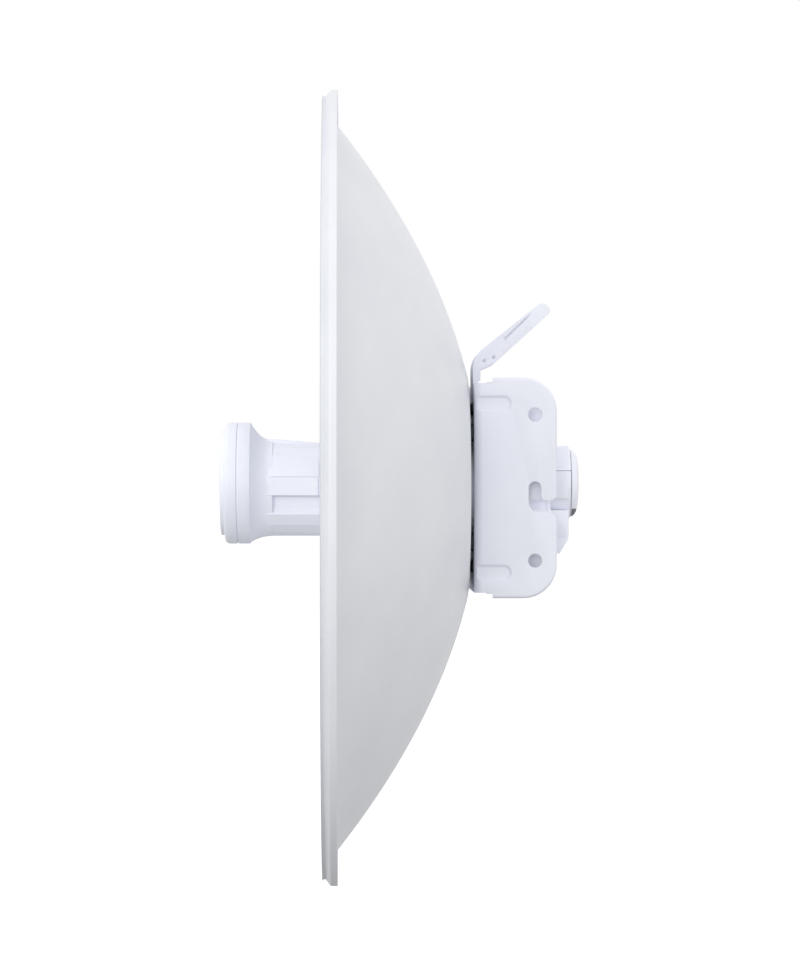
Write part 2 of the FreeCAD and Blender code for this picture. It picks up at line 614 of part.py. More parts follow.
def feed_sleeve():
    """The moulded guide that the feed slides in: neck, seating flange, sleeve, rails and latch tower."""
    flange_thick = 2.0
    flange_y = WEB_REAR_Y + HOUSING_WALL
    tower_x = LATCH_X + RUNNING_GAP + GUIDE_WALL
    pieces = [rod_y(NECK_RADIUS, NECK_FRONT_Y, TUBE_REAR_Y + HOUSING_WALL, 0, TUBE_AXIS_Z),
              rod_y(SEAT_FLANGE_RADIUS, flange_y, flange_y + flange_thick, 0, TUBE_AXIS_Z),
              rod_y(SLEEVE_RADIUS, TUBE_REAR_Y, SLEEVE_REAR_Y, 0, BARREL_AXIS_Z),
              block(-tower_x, tower_x, LATCH_FRONT_Y, LATCH_REAR_Y, SPRING_STOP_Z,
                    SPRING_STOP_Z + GUIDE_WALL)]
    pieces += both_sides(block(LATCH_X + RUNNING_GAP, tower_x, LATCH_FRONT_Y, LATCH_REAR_Y,
                               BARREL_AXIS_Z, SPRING_STOP_Z + 1))
    pieces += both_sides(rounded_block(RAIL_X - 6, RAIL_X, HOUSING_REAR_Y, SLEEVE_REAR_Y - 1.2,
                                       GROOVE_TOP_Z + 0.6, SLIDER_SEAM_Z - RUNNING_GAP, 1.5, "z"))
    body = fused(pieces)
    cuts = [rod_y(TUBE_BORE_RADIUS, NECK_FRONT_Y - 1, TUBE_REAR_Y + RUNNING_GAP, 0, TUBE_AXIS_Z),
            rod_y(BARREL_BORE_RADIUS, TUBE_REAR_Y - 1, SLEEVE_REAR_Y + 1, 0, BARREL_AXIS_Z),
            block(-RAIL_X - 1, RAIL_X + 1, SLIDER_FRONT_Y - RUNNING_GAP, SLEEVE_REAR_Y + 1,
                  SLIDER_SEAM_Z, SPRING_STOP_Z),
            block(-TONGUE_X - RUNNING_GAP, TONGUE_X + RUNNING_GAP, LATCH_FRONT_Y - 3, SLIDER_FRONT_Y + 1,
                  TONGUE_Z - 0.9, WEDGE_TOP_Z + RUNNING_GAP),
            block(-LATCH_X - RUNNING_GAP, LATCH_X + RUNNING_GAP, LATCH_FRONT_Y - RUNNING_GAP,
                  LATCH_REAR_Y + RUNNING_GAP, BARREL_BORE_RADIUS, LATCH_Z + 2),
            jack_passage()]
    for tool in cuts:
        body = body.cut(tool)
    return body.removeSplitter()


def cable_bay_tray():
    """The open box under the sleeve where the network plug and the bend of its cable lie."""
    outer = block(-BAY_X - HOUSING_WALL, BAY_X + HOUSING_WALL, BAY_FRONT_Y - HOUSING_WALL,
                  HOUSING_BACK_Y, -HOUSING_Z, BAY_TOP_Z + HOUSING_WALL)
    outer = outer.common(housing_block(WEB_REAR_Y, HOUSING_BACK_Y, HOUSING_WALL))
    cuts = [housing_screw_clearance(),
            rod_y(SLEEVE_RADIUS + SLIP, BAY_FRONT_Y - HOUSING_WALL - 1, HOUSING_BACK_Y + 1,
                  0, BARREL_AXIS_Z),
            rounded_block(-BAY_X, BAY_X, BAY_FRONT_Y, HOUSING_REAR_Y + 1,
                          BAY_BOTTOM_Z, BAY_TOP_Z, BAY_ROUND, "y"),
            jack_passage(),
            rod_z(GROMMET_RADIUS, -HOUSING_Z - 1, BAY_BOTTOM_Z + 1, 0, GROMMET_Y)]
    for tool in cuts:
        outer = outer.cut(tool)
    return outer


def housing_screw_clearance():
    """Room for the two lower screw bosses, which end in front of the bay."""
    return fused(both_sides(rod_y(SCREW_BOSS + RUNNING_GAP, WEB_REAR_Y, SCREW_BOSS_END_Y + RUNNING_GAP,
                                  HOUSING_SCREW_X, -HOUSING_SCREW_Z)))


def cable_grommet():
    """A split rubber bush where the network cable enters the bay."""
    seat = GROMMET_RADIUS - SLIP
    top = BAY_BOTTOM_Z
    body = rod_z(seat, -HOUSING_Z, top, 0, GROMMET_Y)
    lip = 0.6
    lip_height = 1.5
    half_split = 0.3
    body = body.fuse(rod_z(seat + lip, top, top + lip_height, 0, GROMMET_Y))
    body = body.cut(rod_z(CABLE_RADIUS, -HOUSING_Z - 1, top + 3, 0, GROMMET_Y))
    return body.cut(block(-half_split, half_split, GROMMET_Y, GROMMET_Y + 2 * GROMMET_RADIUS,
                          -HOUSING_Z - 1, top + 3))


def feed_collar():
    """The trim ring at the middle of the dish, over the end of the housing's neck."""
    outer = 33.0
    shoulder = 3.0
    front_y = NECK_FRONT_Y - 1.6
    bore = TUBE_BORE_RADIUS + RUNNING_GAP
    on_neck = NECK_RADIUS + RUNNING_GAP
    steps = [(outer - shoulder, front_y), arc((outer - shoulder, front_y + shoulder), shoulder, -90, 0),
             (outer, GASKET_FRONT_Y), (on_neck, GASKET_FRONT_Y), (on_neck, NECK_FRONT_Y - SLIP),
             (bore, NECK_FRONT_Y - SLIP)]
    return turned((bore, front_y), steps, TUBE_AXIS_Z)


def collar_gasket():
    """A flat rubber ring between the collar and the dish."""
    outer = 32.4
    inner = 29.6
    return ring_y(outer, inner, GASKET_FRONT_Y, DISH_FRONT_Y, 0, TUBE_AXIS_Z)


# ---- the release: slider, latch and spring ----
def release_slider():
    """A saddle over the housing's sleeve with a tongue that runs forward to the latch."""
    inner = BARREL_BORE_RADIUS + SLIP
    outer = SLEEVE_RADIUS + SLIP
    wedge_end_y = 4.0
    rear_round = 1.4
    rear_y = SLEEVE_REAR_Y + 0.2
    saddle = turned((inner, SLIDER_FRONT_Y),
                    [(outer, SLIDER_FRONT_Y), (outer, rear_y - rear_round),
                     arc((outer - rear_round, rear_y - rear_round), rear_round, 0, 90), (inner, rear_y)],
                    BARREL_AXIS_Z)
    saddle = saddle.common(block(-RAIL_X, RAIL_X, SLIDER_FRONT_Y, END_CAP_FRONT_Y,
                                 SLIDER_SEAM_Z + RUNNING_GAP, HOUSING_Z))
    tongue = block(-TONGUE_X, TONGUE_X, TONGUE_FRONT_Y, SLIDER_FRONT_Y + 1, TONGUE_Z, TONGUE_TOP_Z)
    wedge = prism_x((TONGUE_FRONT_Y, TONGUE_Z),
                    [(wedge_end_y, TONGUE_Z), (wedge_end_y, TONGUE_TOP_Z), (1.0, WEDGE_TOP_Z),
                     (TONGUE_FRONT_Y, WEDGE_TOP_Z)], -TONGUE_X, TONGUE_X)
    bore = rod_y(inner, TONGUE_FRONT_Y - 1, END_CAP_FRONT_Y, 0, BARREL_AXIS_Z)
    body = fused([saddle, tongue, wedge]).cut(bore)
    return body


def latch_plate():
    """The catch: a block with a tooth below and an ear over the slider's wedge."""
    tooth_z = 21.0
    tooth_half = LATCH_X - 1
    ear_z = 25.0
    ear_rear_y = 4.8
    peg_radius = 1.4
    peg_top_z = 31.0
    body = block(-LATCH_X, LATCH_X, LATCH_FRONT_Y, LATCH_REAR_Y, LATCH_Z, LATCH_TOP_Z)
    tooth = prism_x((LATCH_FRONT_Y, LATCH_Z), [(LATCH_FRONT_Y, tooth_z), (LATCH_FRONT_Y + 2, tooth_z),
                                               (LATCH_REAR_Y, LATCH_Z)], -tooth_half, tooth_half)
    ear = block(-LATCH_X, LATCH_X, LATCH_REAR_Y - 1, ear_rear_y, ear_z, LATCH_TOP_Z)
    peg = rod_z(peg_radius, LATCH_TOP_Z, peg_top_z, 0, (LATCH_FRONT_Y + LATCH_REAR_Y) / 2)
    return fused([body, tooth, ear, peg])


def latch_spring():
    """A compression spring round the latch's peg."""
    wire = 0.5
    radius = 2.4
    turns = 5
    height = SPRING_STOP_Z - LATCH_TOP_Z - 2 * wire
    helix = Part.makeHelix(height / turns, height, radius)
    section = Part.Wire(Part.makeCircle(wire, Vector(radius, 0, 0), Vector(0, 1, 0)))
    coil = Part.Wire(helix).makePipeShell([section], True, True)
    coil.translate(Vector(0, (LATCH_FRONT_Y + LATCH_REAR_Y) / 2, LATCH_TOP_Z + wire))
    return coil


# ---- the port cover ----
def port_cover():
    """A hollow cover over the cable bay, with a bevelled chin and a notch for the cable."""
    front_y = HOUSING_REAR_Y + RUNNING_GAP
    wall = 2.0
    corner = 2.0
    chin_z = -26.5
    chin_y = 14.0
    seam_z = -26.0
    seam_half = 0.3
    seam_depth = 0.5
    notch = 4.0
    outer = prism_x((front_y, COVER_TOP_Z), [(COVER_REAR_Y, COVER_TOP_Z), (COVER_REAR_Y, chin_z),
                                             (chin_y, COVER_BOTTOM_Z), (front_y, COVER_BOTTOM_Z)],
                    -COVER_X, COVER_X)
    upright = [edge for edge in outer.Edges
               if abs(edge.tangentAt(0).z) > 0.99 and edge.Vertexes[0].Y > COVER_REAR_Y - 1]
    outer = outer.makeFillet(corner, upright)
    inner = prism_x((front_y - 1, COVER_TOP_Z - wall),
                    [(COVER_REAR_Y - wall, COVER_TOP_Z - wall), (COVER_REAR_Y - wall, chin_z + 0.8),
                     (chin_y - 1.2, COVER_BOTTOM_Z + wall), (front_y - 1, COVER_BOTTOM_Z + wall)],
                    -COVER_X + wall, COVER_X - wall)
    body = outer.cut(inner)
    body = body.cut(rod_y(SLEEVE_RADIUS + RUNNING_GAP, 0, END_CAP_REAR_Y, 0, BARREL_AXIS_Z))
    seam = block(-COVER_X - 1, COVER_X + 1, front_y - 1, COVER_REAR_Y + 1, seam_z - seam_half,
                 seam_z + seam_half)
    kept = block(seam_depth - COVER_X, COVER_X - seam_depth, front_y - 2, COVER_REAR_Y - seam_depth,
                 seam_z - 1, seam_z + 1)
    body = body.cut(seam.cut(kept))
    notch_y = front_y + 1.5
    body = body.cut(rod_z(notch, COVER_BOTTOM_Z - 1, COVER_BOTTOM_Z + 6, 0, notch_y))
    return body.cut(block(-notch, notch, front_y - 1, notch_y, COVER_BOTTOM_Z - 1, COVER_BOTTOM_Z + 6))


# ---- the feed ----
def reflector_cap():
    """The front cap of the head: a round-shouldered ring with a raised front disc."""
    disc_radius = 27.6
    wall = 1.8
    shoulder_y = HEAD_FRONT_Y + 2.2
    start = (0, HEAD_FRONT_Y)
    steps = [(disc_radius - 1.0, HEAD_FRONT_Y), arc((disc_radius - 1.0, HEAD_FRONT_Y + 1.0), 1.0, -90, 0),
             (disc_radius, shoulder_y), (HEAD_RADIUS - 2.4, shoulder_y),
             arc((HEAD_RADIUS - 2.4, shoulder_y + 2.4), 2.4, -90, 0),
             (HEAD_RADIUS, CAP_REAR_Y), (HEAD_RADIUS - wall, CAP_REAR_Y),
             (HEAD_RADIUS - wall, shoulder_y + wall), (disc_radius - wall, shoulder_y + wall),
             (disc_radius - wall, HEAD_FRONT_Y + wall), (0, HEAD_FRONT_Y + wall)]
    return turned(start, steps, HEAD_AXIS_Z)


def subreflector_disc():
    """The splash plate that turns the beam back to the dish, just inside the cap."""
    front = HEAD_FRONT_Y + 2.1
    steps = [(24.6, front), (24.6, front + 1.0), (9.0, front + 1.0),
             arc((0, front + 1.0 - 8.5), math.hypot(9.0, 8.5), math.degrees(math.atan2(8.5, 9.0)), 90)]
    return turned((0, front), steps, HEAD_AXIS_Z)


def feed_head_base():
    """The rear half of the head: ring, cone down to the neck, and a collar round the tube."""
    ring_front = CAP_REAR_Y + SEAM
    spigot_radius = HEAD_RADIUS - 2.0
    groove_radius = HEAD_RADIUS - 1.0
    ring = turned((0, ring_front), [(HEAD_RADIUS - 0.6, ring_front),
                                    arc((HEAD_RADIUS - 0.6, ring_front + 0.6), 0.6, -90, 0),
                                    (HEAD_RADIUS, HEAD_REAR_Y), (0, HEAD_REAR_Y)], HEAD_AXIS_Z)
    spigot = rod_y(spigot_radius, CAP_REAR_Y - 4, ring_front + 1, 0, HEAD_AXIS_Z)
    seam_floor = rod_y(groove_radius, CAP_REAR_Y + SLIP / 2, ring_front + 1, 0, HEAD_AXIS_Z)
    rings = [(HEAD_REAR_Y, HEAD_AXIS_Z, HEAD_RADIUS), (NECK_Y, 0.8, 26.8)]
    cone = Part.makeLoft([circle_y(*values) for values in rings], True)
    rings = [(NECK_Y, 0.8, 26.8), (TUBE_FRONT_Y, TUBE_AXIS_Z + 0.3, 25.6)]
    collar = Part.makeLoft([circle_y(*values) for values in rings], True)
    body = fused([ring, spigot, seam_floor, cone, collar])
    bore = TUBE_RADIUS - TUBE_WALL - 0.6
    hollow = fused([rod_y(spigot_radius - 2, CAP_REAR_Y - 5, HEAD_REAR_Y - 1, 0, HEAD_AXIS_Z),
                    rod_y(bore, HEAD_REAR_Y - 2, TUBE_FRONT_Y + 1, 0, TUBE_AXIS_Z)])
    return body.cut(hollow)


def circle_y(y, z, radius):
    return Part.Wire(Part.makeCircle(radius, Vector(0, y, z), Vector(0, 1, 0)))


def mirrored_steps(half):
    return half + [(-x, z) for x, z in reversed(half)]


def shell_prism(half, inset, y0, y1):
    """A prism of one half-shell's outline, moved in by the wall thickness."""
    points = []
    for x, z in half:
        reach = math.hypot(x, z - TUBE_AXIS_Z)
        scale = (reach - inset) / reach
        on_split = abs(z - SHELL_SPLIT_Z) < TINY
        points.append((x * scale, z if on_split else TUBE_AXIS_Z + (z - TUBE_AXIS_Z) * scale))
    steps = mirrored_steps(points)
    return prism_y(steps[0], steps[1:], y0, y1)


def feed_upper_shell():
    """The upper half of the tube, with a sloped top rib and a raised pad on each side."""
    outer = shell_prism(UPPER_HALF, 0, TUBE_FRONT_Y, TUBE_REAR_Y - 2)
    inner = shell_prism(UPPER_HALF, TUBE_WALL, TUBE_FRONT_Y - 1, TUBE_REAR_Y - 1)
    rib = prism_x((TUBE_FRONT_Y, 22.0), [(TUBE_FRONT_Y, 26.0), (-112.0, 23.8), (-112.0, 22.0)], -6.0, 6.0)
    body = fused([outer, rib]).cut(inner)
    gap = block(23.5, 30, -113.0, -112.0, SHELL_SPLIT_Z - 1, 5.2)
    for tool in both_sides(gap):
        body = body.cut(tool)
    body = fused([body] + [rod_z(3.0, BOARD_Z + BOARD, 30, x, y).common(outer) for x, y in SHELL_SCREWS])
    for x, y in SHELL_SCREWS:
        body = body.cut(rod_z(SCREW_SHANK + 0.05, BOARD_Z, SCREW_END_Z + 0.5, x, y))
    return body


def feed_lower_shell():
    """The lower half of the tube, stepped in under the upper one."""
    outer = shell_prism(LOWER_HALF, 0, TUBE_FRONT_Y, TUBE_REAR_Y - 2)
    inner = shell_prism(LOWER_HALF, TUBE_WALL, TUBE_FRONT_Y - 1, TUBE_REAR_Y - 1)
    bosses = [rod_z(3.6, -26, SHELL_SPLIT_Z, x, y).common(outer) for x, y in SHELL_SCREWS]
    bosses += [rod_z(3.6, SHELL_SPLIT_Z, BOARD_Z, x, y) for x, y in SHELL_SCREWS]
    body = fused([outer.cut(inner)] + bosses)
    for x, y in SHELL_SCREWS:
        body = body.cut(rod_z(SCREW_SHANK + 0.2, -26, BOARD_Z + 1, x, y))
        body = body.cut(rod_z(SHELL_HEAD_RADIUS + 0.2, -26, SHELL_HEAD_Z, x, y))
    return body


def feed_rear_barrel():
    """The round rear body: a shoulder plate that closes the tube, and the barrel behind it."""
    shoulder = rod_y(TUBE_RADIUS, TUBE_REAR_Y - 2, TUBE_REAR_Y, 0, TUBE_AXIS_Z)
    barrel = rod_y(BARREL_RADIUS, TUBE_REAR_Y, 14.0, 0, BARREL_AXIS_Z)
    neck = rod_y(BARREL_NECK_RADIUS, 14.0, BARREL_REAR_Y, 0, BARREL_AXIS_Z)
    body = fused([shoulder, barrel, neck])
    bore = BARREL_NECK_RADIUS - 2.0
    body = body.cut(rod_y(bore, TUBE_REAR_Y - 3, BARREL_REAR_Y + 1, 0, BARREL_AXIS_Z))
    body = body.cut(rod_y(BARREL_RADIUS - 2.0, TUBE_REAR_Y + 2, 12.8, 0, BARREL_AXIS_Z))
    body = body.cut(block(-8.2, 8.2, -1.7, 12.7, -20, BARREL_AXIS_Z))
    return body.cut(rod_z(RESET_RADIUS + 0.1, -20, 0, RESET_X, RESET_Y))


def feed_rear_cap():
    """The round end cap of the barrel, with a spigot inside it and a vent slot below."""
    round_edge = 4.0
    spigot_y = END_CAP_FRONT_Y - 5
    start = (0, spigot_y)
    spigot = BARREL_NECK_RADIUS - 2.0 - 0.1
    steps = [(spigot, spigot_y), (spigot, END_CAP_FRONT_Y), (END_CAP_RADIUS, END_CAP_FRONT_Y),
             (END_CAP_RADIUS, END_CAP_REAR_Y - round_edge),
             arc((END_CAP_RADIUS - round_edge, END_CAP_REAR_Y - round_edge), round_edge, 0, 90),
             (0, END_CAP_REAR_Y)]
    body = turned(start, steps, BARREL_AXIS_Z)
    body = body.cut(rod_y(spigot - 1.6, spigot_y - 1, END_CAP_FRONT_Y + 1.6, 0, BARREL_AXIS_Z))
    body = body.cut(rod_y(LIGHT_RADIUS + 0.05, spigot_y, END_CAP_REAR_Y + 1, 0, LIGHT_Z))
    return body.cut(vent_strip(0.05))


def vent_strip(gap):
    """The lowest stretch of the end cap's rim, which the vent seal fills."""
    front_y = END_CAP_FRONT_Y + 0.4
    strip = ring_y(END_CAP_RADIUS + gap, 15.4 - gap, front_y - gap, front_y + 2.8 + gap, 0, BARREL_AXIS_Z)
    return strip.common(block(-20, 20, front_y - 1, front_y + 5, -20, VENT_TOP_Z + gap))


def vent_seal():
    """A black rubber strip over the vent slot, at the bottom of the end cap's rim."""
    return vent_strip(0)


def led_light_guide():
    """A clear pin that carries the status light through the end cap."""
    pin = rod_y(LIGHT_RADIUS, 9.0, END_CAP_REAR_Y - 0.05, 0, LIGHT_Z)
    return pin.fuse(block(-1.2, 1.2, 7.0, 10.0, BOARD_Z + BOARD, LIGHT_Z + 1.2)).removeSplitter()


def feed_o_ring():
    """The seal between the barrel and its end cap."""
    thick = (END_CAP_FRONT_Y - BARREL_REAR_Y) / 2 - 0.02
    centre = Vector(0, (BARREL_REAR_Y + END_CAP_FRONT_Y) / 2, BARREL_AXIS_Z)
    return Part.makeTorus(BARREL_NECK_RADIUS - 1.0, thick, centre, Vector(0, 1, 0))


def radio_board():
    """One long circuit board, narrow where it runs back through the barrel."""
    narrow_y = TUBE_REAR_Y - 3
    chip = 1.2
    wide = block(-BOARD_WIDE_X, BOARD_WIDE_X, BOARD_FRONT_Y, narrow_y, BOARD_Z, BOARD_Z + BOARD)
    narrow = block(-BOARD_X, BOARD_X, narrow_y, 13.0, BOARD_Z, BOARD_Z + BOARD)
    chips = [block(x, x + side, y, y + side, BOARD_Z - chip, BOARD_Z)
             for x, y, side in ((-12, -60, 9), (3, -48, 6), (-6, -110, 7))]
    board = fused([wide, narrow] + chips)
    for x, y in SHELL_SCREWS:
        board = board.cut(rod_z(SCREW_SHANK + 0.3, BOARD_Z - 1, BOARD_Z + BOARD + 1, x, y))
    return board


def shield_can():
    """The tinned lid over the radio circuits."""
    top = BOARD_Z + BOARD
    can = rounded_block(-CAN_X, CAN_X, CAN_FRONT_Y, CAN_REAR_Y, top, top + CAN_HEIGHT, 1.5, "z")
    inner_x = CAN_X - CAN_SHEET
    return can.cut(block(-inner_x, inner_x, CAN_FRONT_Y + CAN_SHEET, CAN_REAR_Y - CAN_SHEET,
                         top - 1, top + CAN_HEIGHT - CAN_SHEET))


def thermal_pad():
    """The soft pad that carries heat from the shield can to the spreader."""
    foot = BOARD_Z + BOARD + CAN_HEIGHT
    inset = 2.0
    return block(inset - CAN_X, CAN_X - inset, CAN_FRONT_Y + 2 * inset, CAN_REAR_Y - 2 * inset,
                 foot, foot + PAD)


def heat_spreader():
    """A finned aluminium plate that carries the radio's heat into the tube."""
    foot = BOARD_Z + BOARD + CAN_HEIGHT + PAD
    half = CAN_X + 1
    fin_half = 0.6
    front_y = CAN_FRONT_Y
    rear_y = CAN_REAR_Y + 4
    top = foot + SPREADER
    plate = block(-half, half, front_y, rear_y, foot, top)
    fins = [block(x - fin_half, x + fin_half, front_y, rear_y, top, top + FIN_HEIGHT)
            for x in range(-3 * FIN_PITCH, 3 * FIN_PITCH + 1, FIN_PITCH)]
    return fused([plate] + fins)


def feed_element():
    """The driven element: a round board with a strip, on a post from the radio board."""
    strip_x = 14.0
    strip_half = 1.5
    strip_thick = 0.6
    post = 2.0
    rear_y = ELEMENT_FRONT_Y + BOARD
    disc = rod_y(ELEMENT_RADIUS, ELEMENT_FRONT_Y, rear_y, 0, HEAD_AXIS_Z)
    strip = block(-strip_x, strip_x, ELEMENT_FRONT_Y - strip_thick, ELEMENT_FRONT_Y,
                  HEAD_AXIS_Z - strip_half, HEAD_AXIS_Z + strip_half)
    return fused([disc, strip, rod_y(post, rear_y, BOARD_FRONT_Y, 0, BOARD_Z + BOARD / 2)])


def ethernet_jack():
    """The network socket, opening downwards, with the notch for the plug's latch in front."""
    below = JACK_BOTTOM_Z - 1
    notch_top = -6.0
    body = block(-JACK_X, JACK_X, JACK_FRONT_Y, JACK_REAR_Y, JACK_BOTTOM_Z, BOARD_Z)
    for half, front_y, rear_y, top in ((5.9, 2.0, 10.0, -1.2), (3.2, 0.6, 2.0, notch_top),
                                       (2.0, -0.6, 0.6, notch_top)):
        body = body.cut(block(-half, half, front_y, rear_y, below, top))
    return body


def feed_screws():
    """Four screws from below that close the tube's two shells."""
    head_height = 1.5
    screws = []
    for x, y in SHELL_SCREWS:
        head = rod_z(SHELL_HEAD_RADIUS, SHELL_HEAD_Z - head_height, SHELL_HEAD_Z, x, y)
        screws.append(head.fuse(rod_z(SCREW_SHANK, SHELL_HEAD_Z, SCREW_END_Z, x, y)))
    return Part.makeCompound(screws)


def reset_button():
    """The recessed reset pin in front of the socket, pressed from below."""
    bottom = BARREL_AXIS_Z - BARREL_RADIUS + 0.5
    free_gap = 0.35
    return rod_z(RESET_RADIUS, bottom, BOARD_Z - SWITCH - free_gap, RESET_X, RESET_Y)


def reset_switch():
    """The switch on the board that the reset pin presses."""
    half = 2.0
    return block(RESET_X - half, RESET_X + half, RESET_Y - half, RESET_Y + half, BOARD_Z - SWITCH, BOARD_Z)


# ---- one STEP file for each sub-part ----
SUB_PARTS = {
    "dish_reflector": dish_reflector,
    "mounting_bracket": mounting_bracket,
    "standoff_spacers": lambda: studs(spacer_ring),
    "bracket_screws": lambda: studs(button_head_screw),
    "bracket_lock_washers": lambda: studs(lock_washer),
    "bracket_nuts": lambda: studs(nut),
    "housing_screws": housing_screws,
    "rear_housing": rear_housing,
    "housing_back": housing_back,
    "feed_sleeve": feed_sleeve,
    "cable_bay_tray": cable_bay_tray,
    "cable_grommet": cable_grommet,
    "feed_collar": feed_collar,
    "collar_gasket": collar_gasket,
    "release_slider": release_slider,
    "latch_plate": latch_plate,
    "latch_spring": latch_spring,
    "port_cover": port_cover,
    "reflector_cap": reflector_cap,
    "subreflector_disc": subreflector_disc,
    "feed_head_base": feed_head_base,
    "feed_upper_shell": feed_upper_shell,
    "feed_lower_shell": feed_lower_shell,
    "feed_rear_barrel": feed_rear_barrel,
    "feed_rear_cap": feed_rear_cap,
    "vent_seal": vent_seal,
    "led_light_guide": led_light_guide,
    "feed_o_ring": feed_o_ring,
    "radio_board": radio_board,
    "shield_can": shield_can,
    "thermal_pad": thermal_pad,
    "heat_spreader": heat_spreader,
    "feed_element": feed_element,
    "ethernet_jack": ethernet_jack,
    "feed_screws": feed_screws,
    "reset_button": reset_button,
    "reset_switch": reset_switch,
}

os.makedirs("parts", exist_ok=True)
for name, make in SUB_PARTS.items():
    shape = make()
    shape.exportStep("parts/" + name + ".step")
    box = shape.BoundBox
    print(name, "valid" if shape.isValid() else "INVALID", "solids", len(shape.Solids),
          "volume", round(shape.Volume), "box", [round(value, 1) for value in
          (box.XMin, box.XMax, box.YMin, box.YMax, box.ZMin, box.ZMax)])
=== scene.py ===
import math

import bpy
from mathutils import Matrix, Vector


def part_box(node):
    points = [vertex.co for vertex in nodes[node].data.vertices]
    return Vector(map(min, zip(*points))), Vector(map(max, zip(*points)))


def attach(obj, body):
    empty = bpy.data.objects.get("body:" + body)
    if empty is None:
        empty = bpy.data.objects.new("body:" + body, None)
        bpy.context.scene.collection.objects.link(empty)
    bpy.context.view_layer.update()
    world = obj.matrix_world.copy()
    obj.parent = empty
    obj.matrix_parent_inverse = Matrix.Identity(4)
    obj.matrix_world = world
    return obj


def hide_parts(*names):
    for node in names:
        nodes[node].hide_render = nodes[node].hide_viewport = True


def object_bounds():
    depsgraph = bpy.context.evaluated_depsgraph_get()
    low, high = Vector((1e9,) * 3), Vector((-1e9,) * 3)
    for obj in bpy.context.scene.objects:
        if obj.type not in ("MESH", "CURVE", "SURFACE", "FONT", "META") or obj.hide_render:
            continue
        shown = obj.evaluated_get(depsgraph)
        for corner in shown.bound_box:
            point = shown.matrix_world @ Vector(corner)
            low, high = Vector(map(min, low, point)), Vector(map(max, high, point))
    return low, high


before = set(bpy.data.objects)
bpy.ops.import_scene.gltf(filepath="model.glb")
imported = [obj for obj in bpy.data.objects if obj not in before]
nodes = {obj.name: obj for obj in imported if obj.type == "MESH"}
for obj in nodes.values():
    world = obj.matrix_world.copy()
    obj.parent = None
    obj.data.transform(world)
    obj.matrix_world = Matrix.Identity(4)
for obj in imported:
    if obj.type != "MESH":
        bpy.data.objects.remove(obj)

cad_low, cad_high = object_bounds()
MM = 0.001


# ---- Camera ----
# A long lens from straight beside the antenna, level with its axis and a little in front of its middle.
# The rim is seen edge-on, the feed points left and the bracket's near flange is seen square.
camera_distance = 1590 * MM
camera_ahead = -98.8 * MM
view_centre = Vector((0.0, -69.6 * MM, -0.3 * MM))
view_height = 520 * MM
sensor = 36.0

camera_data = bpy.data.cameras.new("camera")
camera = bpy.data.objects.new("camera", camera_data)
bpy.context.scene.collection.objects.link(camera)
camera.location = (camera_distance, camera_ahead, 0.0)
towards = view_centre - camera.location
camera.rotation_euler = towards.to_track_quat("-Z", "Y").to_euler()
camera_data.sensor_width = sensor
camera_data.lens = sensor * towards.length / view_height
camera_data.dof.use_dof = False
bpy.context.scene.camera = camera


# ---- Studio ----
# A pale floor in an even white surround, with a large soft key light on the camera's side, ahead of the
# dish, and a weaker fill behind it. Below the horizon the surround is greyer, and so are the undersides.
bpy.context.scene.view_settings.view_transform = "Standard"
floor_level = cad_low.z - 110 * MM
floor_size = 400.0
key_place = Vector((1.85, -1.0, 0.4))
key_size = 1.5
key_power = 12.5
fill_place = Vector((1.6, 1.5, -0.1))
fill_size = 1.2
fill_power = 4.0


def linear(hex_colour):
    """An sRGB hex colour as the linear red, green, blue and alpha that a shader takes."""
    channels = [int(hex_colour[place:place + 2], 16) / 255 for place in (0, 2, 4)]
    return [c / 12.92 if c <= 0.04045 else ((c + 0.055) / 1.055) ** 2.4 for c in channels] + [1.0]


def add_node(tree, kind, inputs=None, **settings):
    """Add a shader node. Each input takes a plain value or the output socket that feeds it."""
    node = tree.nodes.new(kind)
    for name, value in settings.items():
        setattr(node, name, value)
    for name, value in (inputs or {}).items():
        if isinstance(value, bpy.types.NodeSocket):
            tree.links.new(value, node.inputs[name])
        else:
            node.inputs[name].default_value = value
    return node


def new_material(name):
    material = bpy.data.materials.new(name)
    material.use_nodes = True
    material.node_tree.nodes.clear()
    return material, material.node_tree


world = bpy.data.worlds.new("white_surround")
bpy.context.scene.world = world
world.use_nodes = True
tree = world.node_tree
tree.nodes.clear()
direction = add_node(tree, "ShaderNodeTexCoord").outputs["Generated"]
upward = add_node(tree, "ShaderNodeSeparateXYZ", {"Vector": direction}).outputs["Z"]
fade = add_node(tree, "ShaderNodeMapRange", {"Value": upward, "From Min": -0.45, "From Max": 0.0})
surround = add_node(tree, "ShaderNodeMix", {"Factor": fade.outputs["Result"], "A": linear("B0B0AF"),
                                            "B": linear("FFFFFF")}, data_type="RGBA")
light_below = add_node(tree, "ShaderNodeBackground", {"Color": surround.outputs["Result"]})
add_node(tree, "ShaderNodeOutputWorld", {"Surface": light_below.outputs["Background"]})

bpy.ops.object.select_all(action="DESELECT")
bpy.ops.mesh.primitive_plane_add(size=floor_size, location=(0.0, 0.0, floor_level))
floor = bpy.context.object
floor.name = "floor"
floor_paint, tree = new_material("white_studio_floor")
shader = add_node(tree, "ShaderNodeBsdfPrincipled",
                  {"Base Color": linear("E4E4E6"), "Roughness": 0.9,
                   "Emission Color": linear("FFFFFF"), "Emission Strength": 0.3})
add_node(tree, "ShaderNodeOutputMaterial", {"Surface": shader.outputs["BSDF"]})
floor.data.materials.append(floor_paint)
floor.visible_diffuse = False
floor.visible_glossy = False

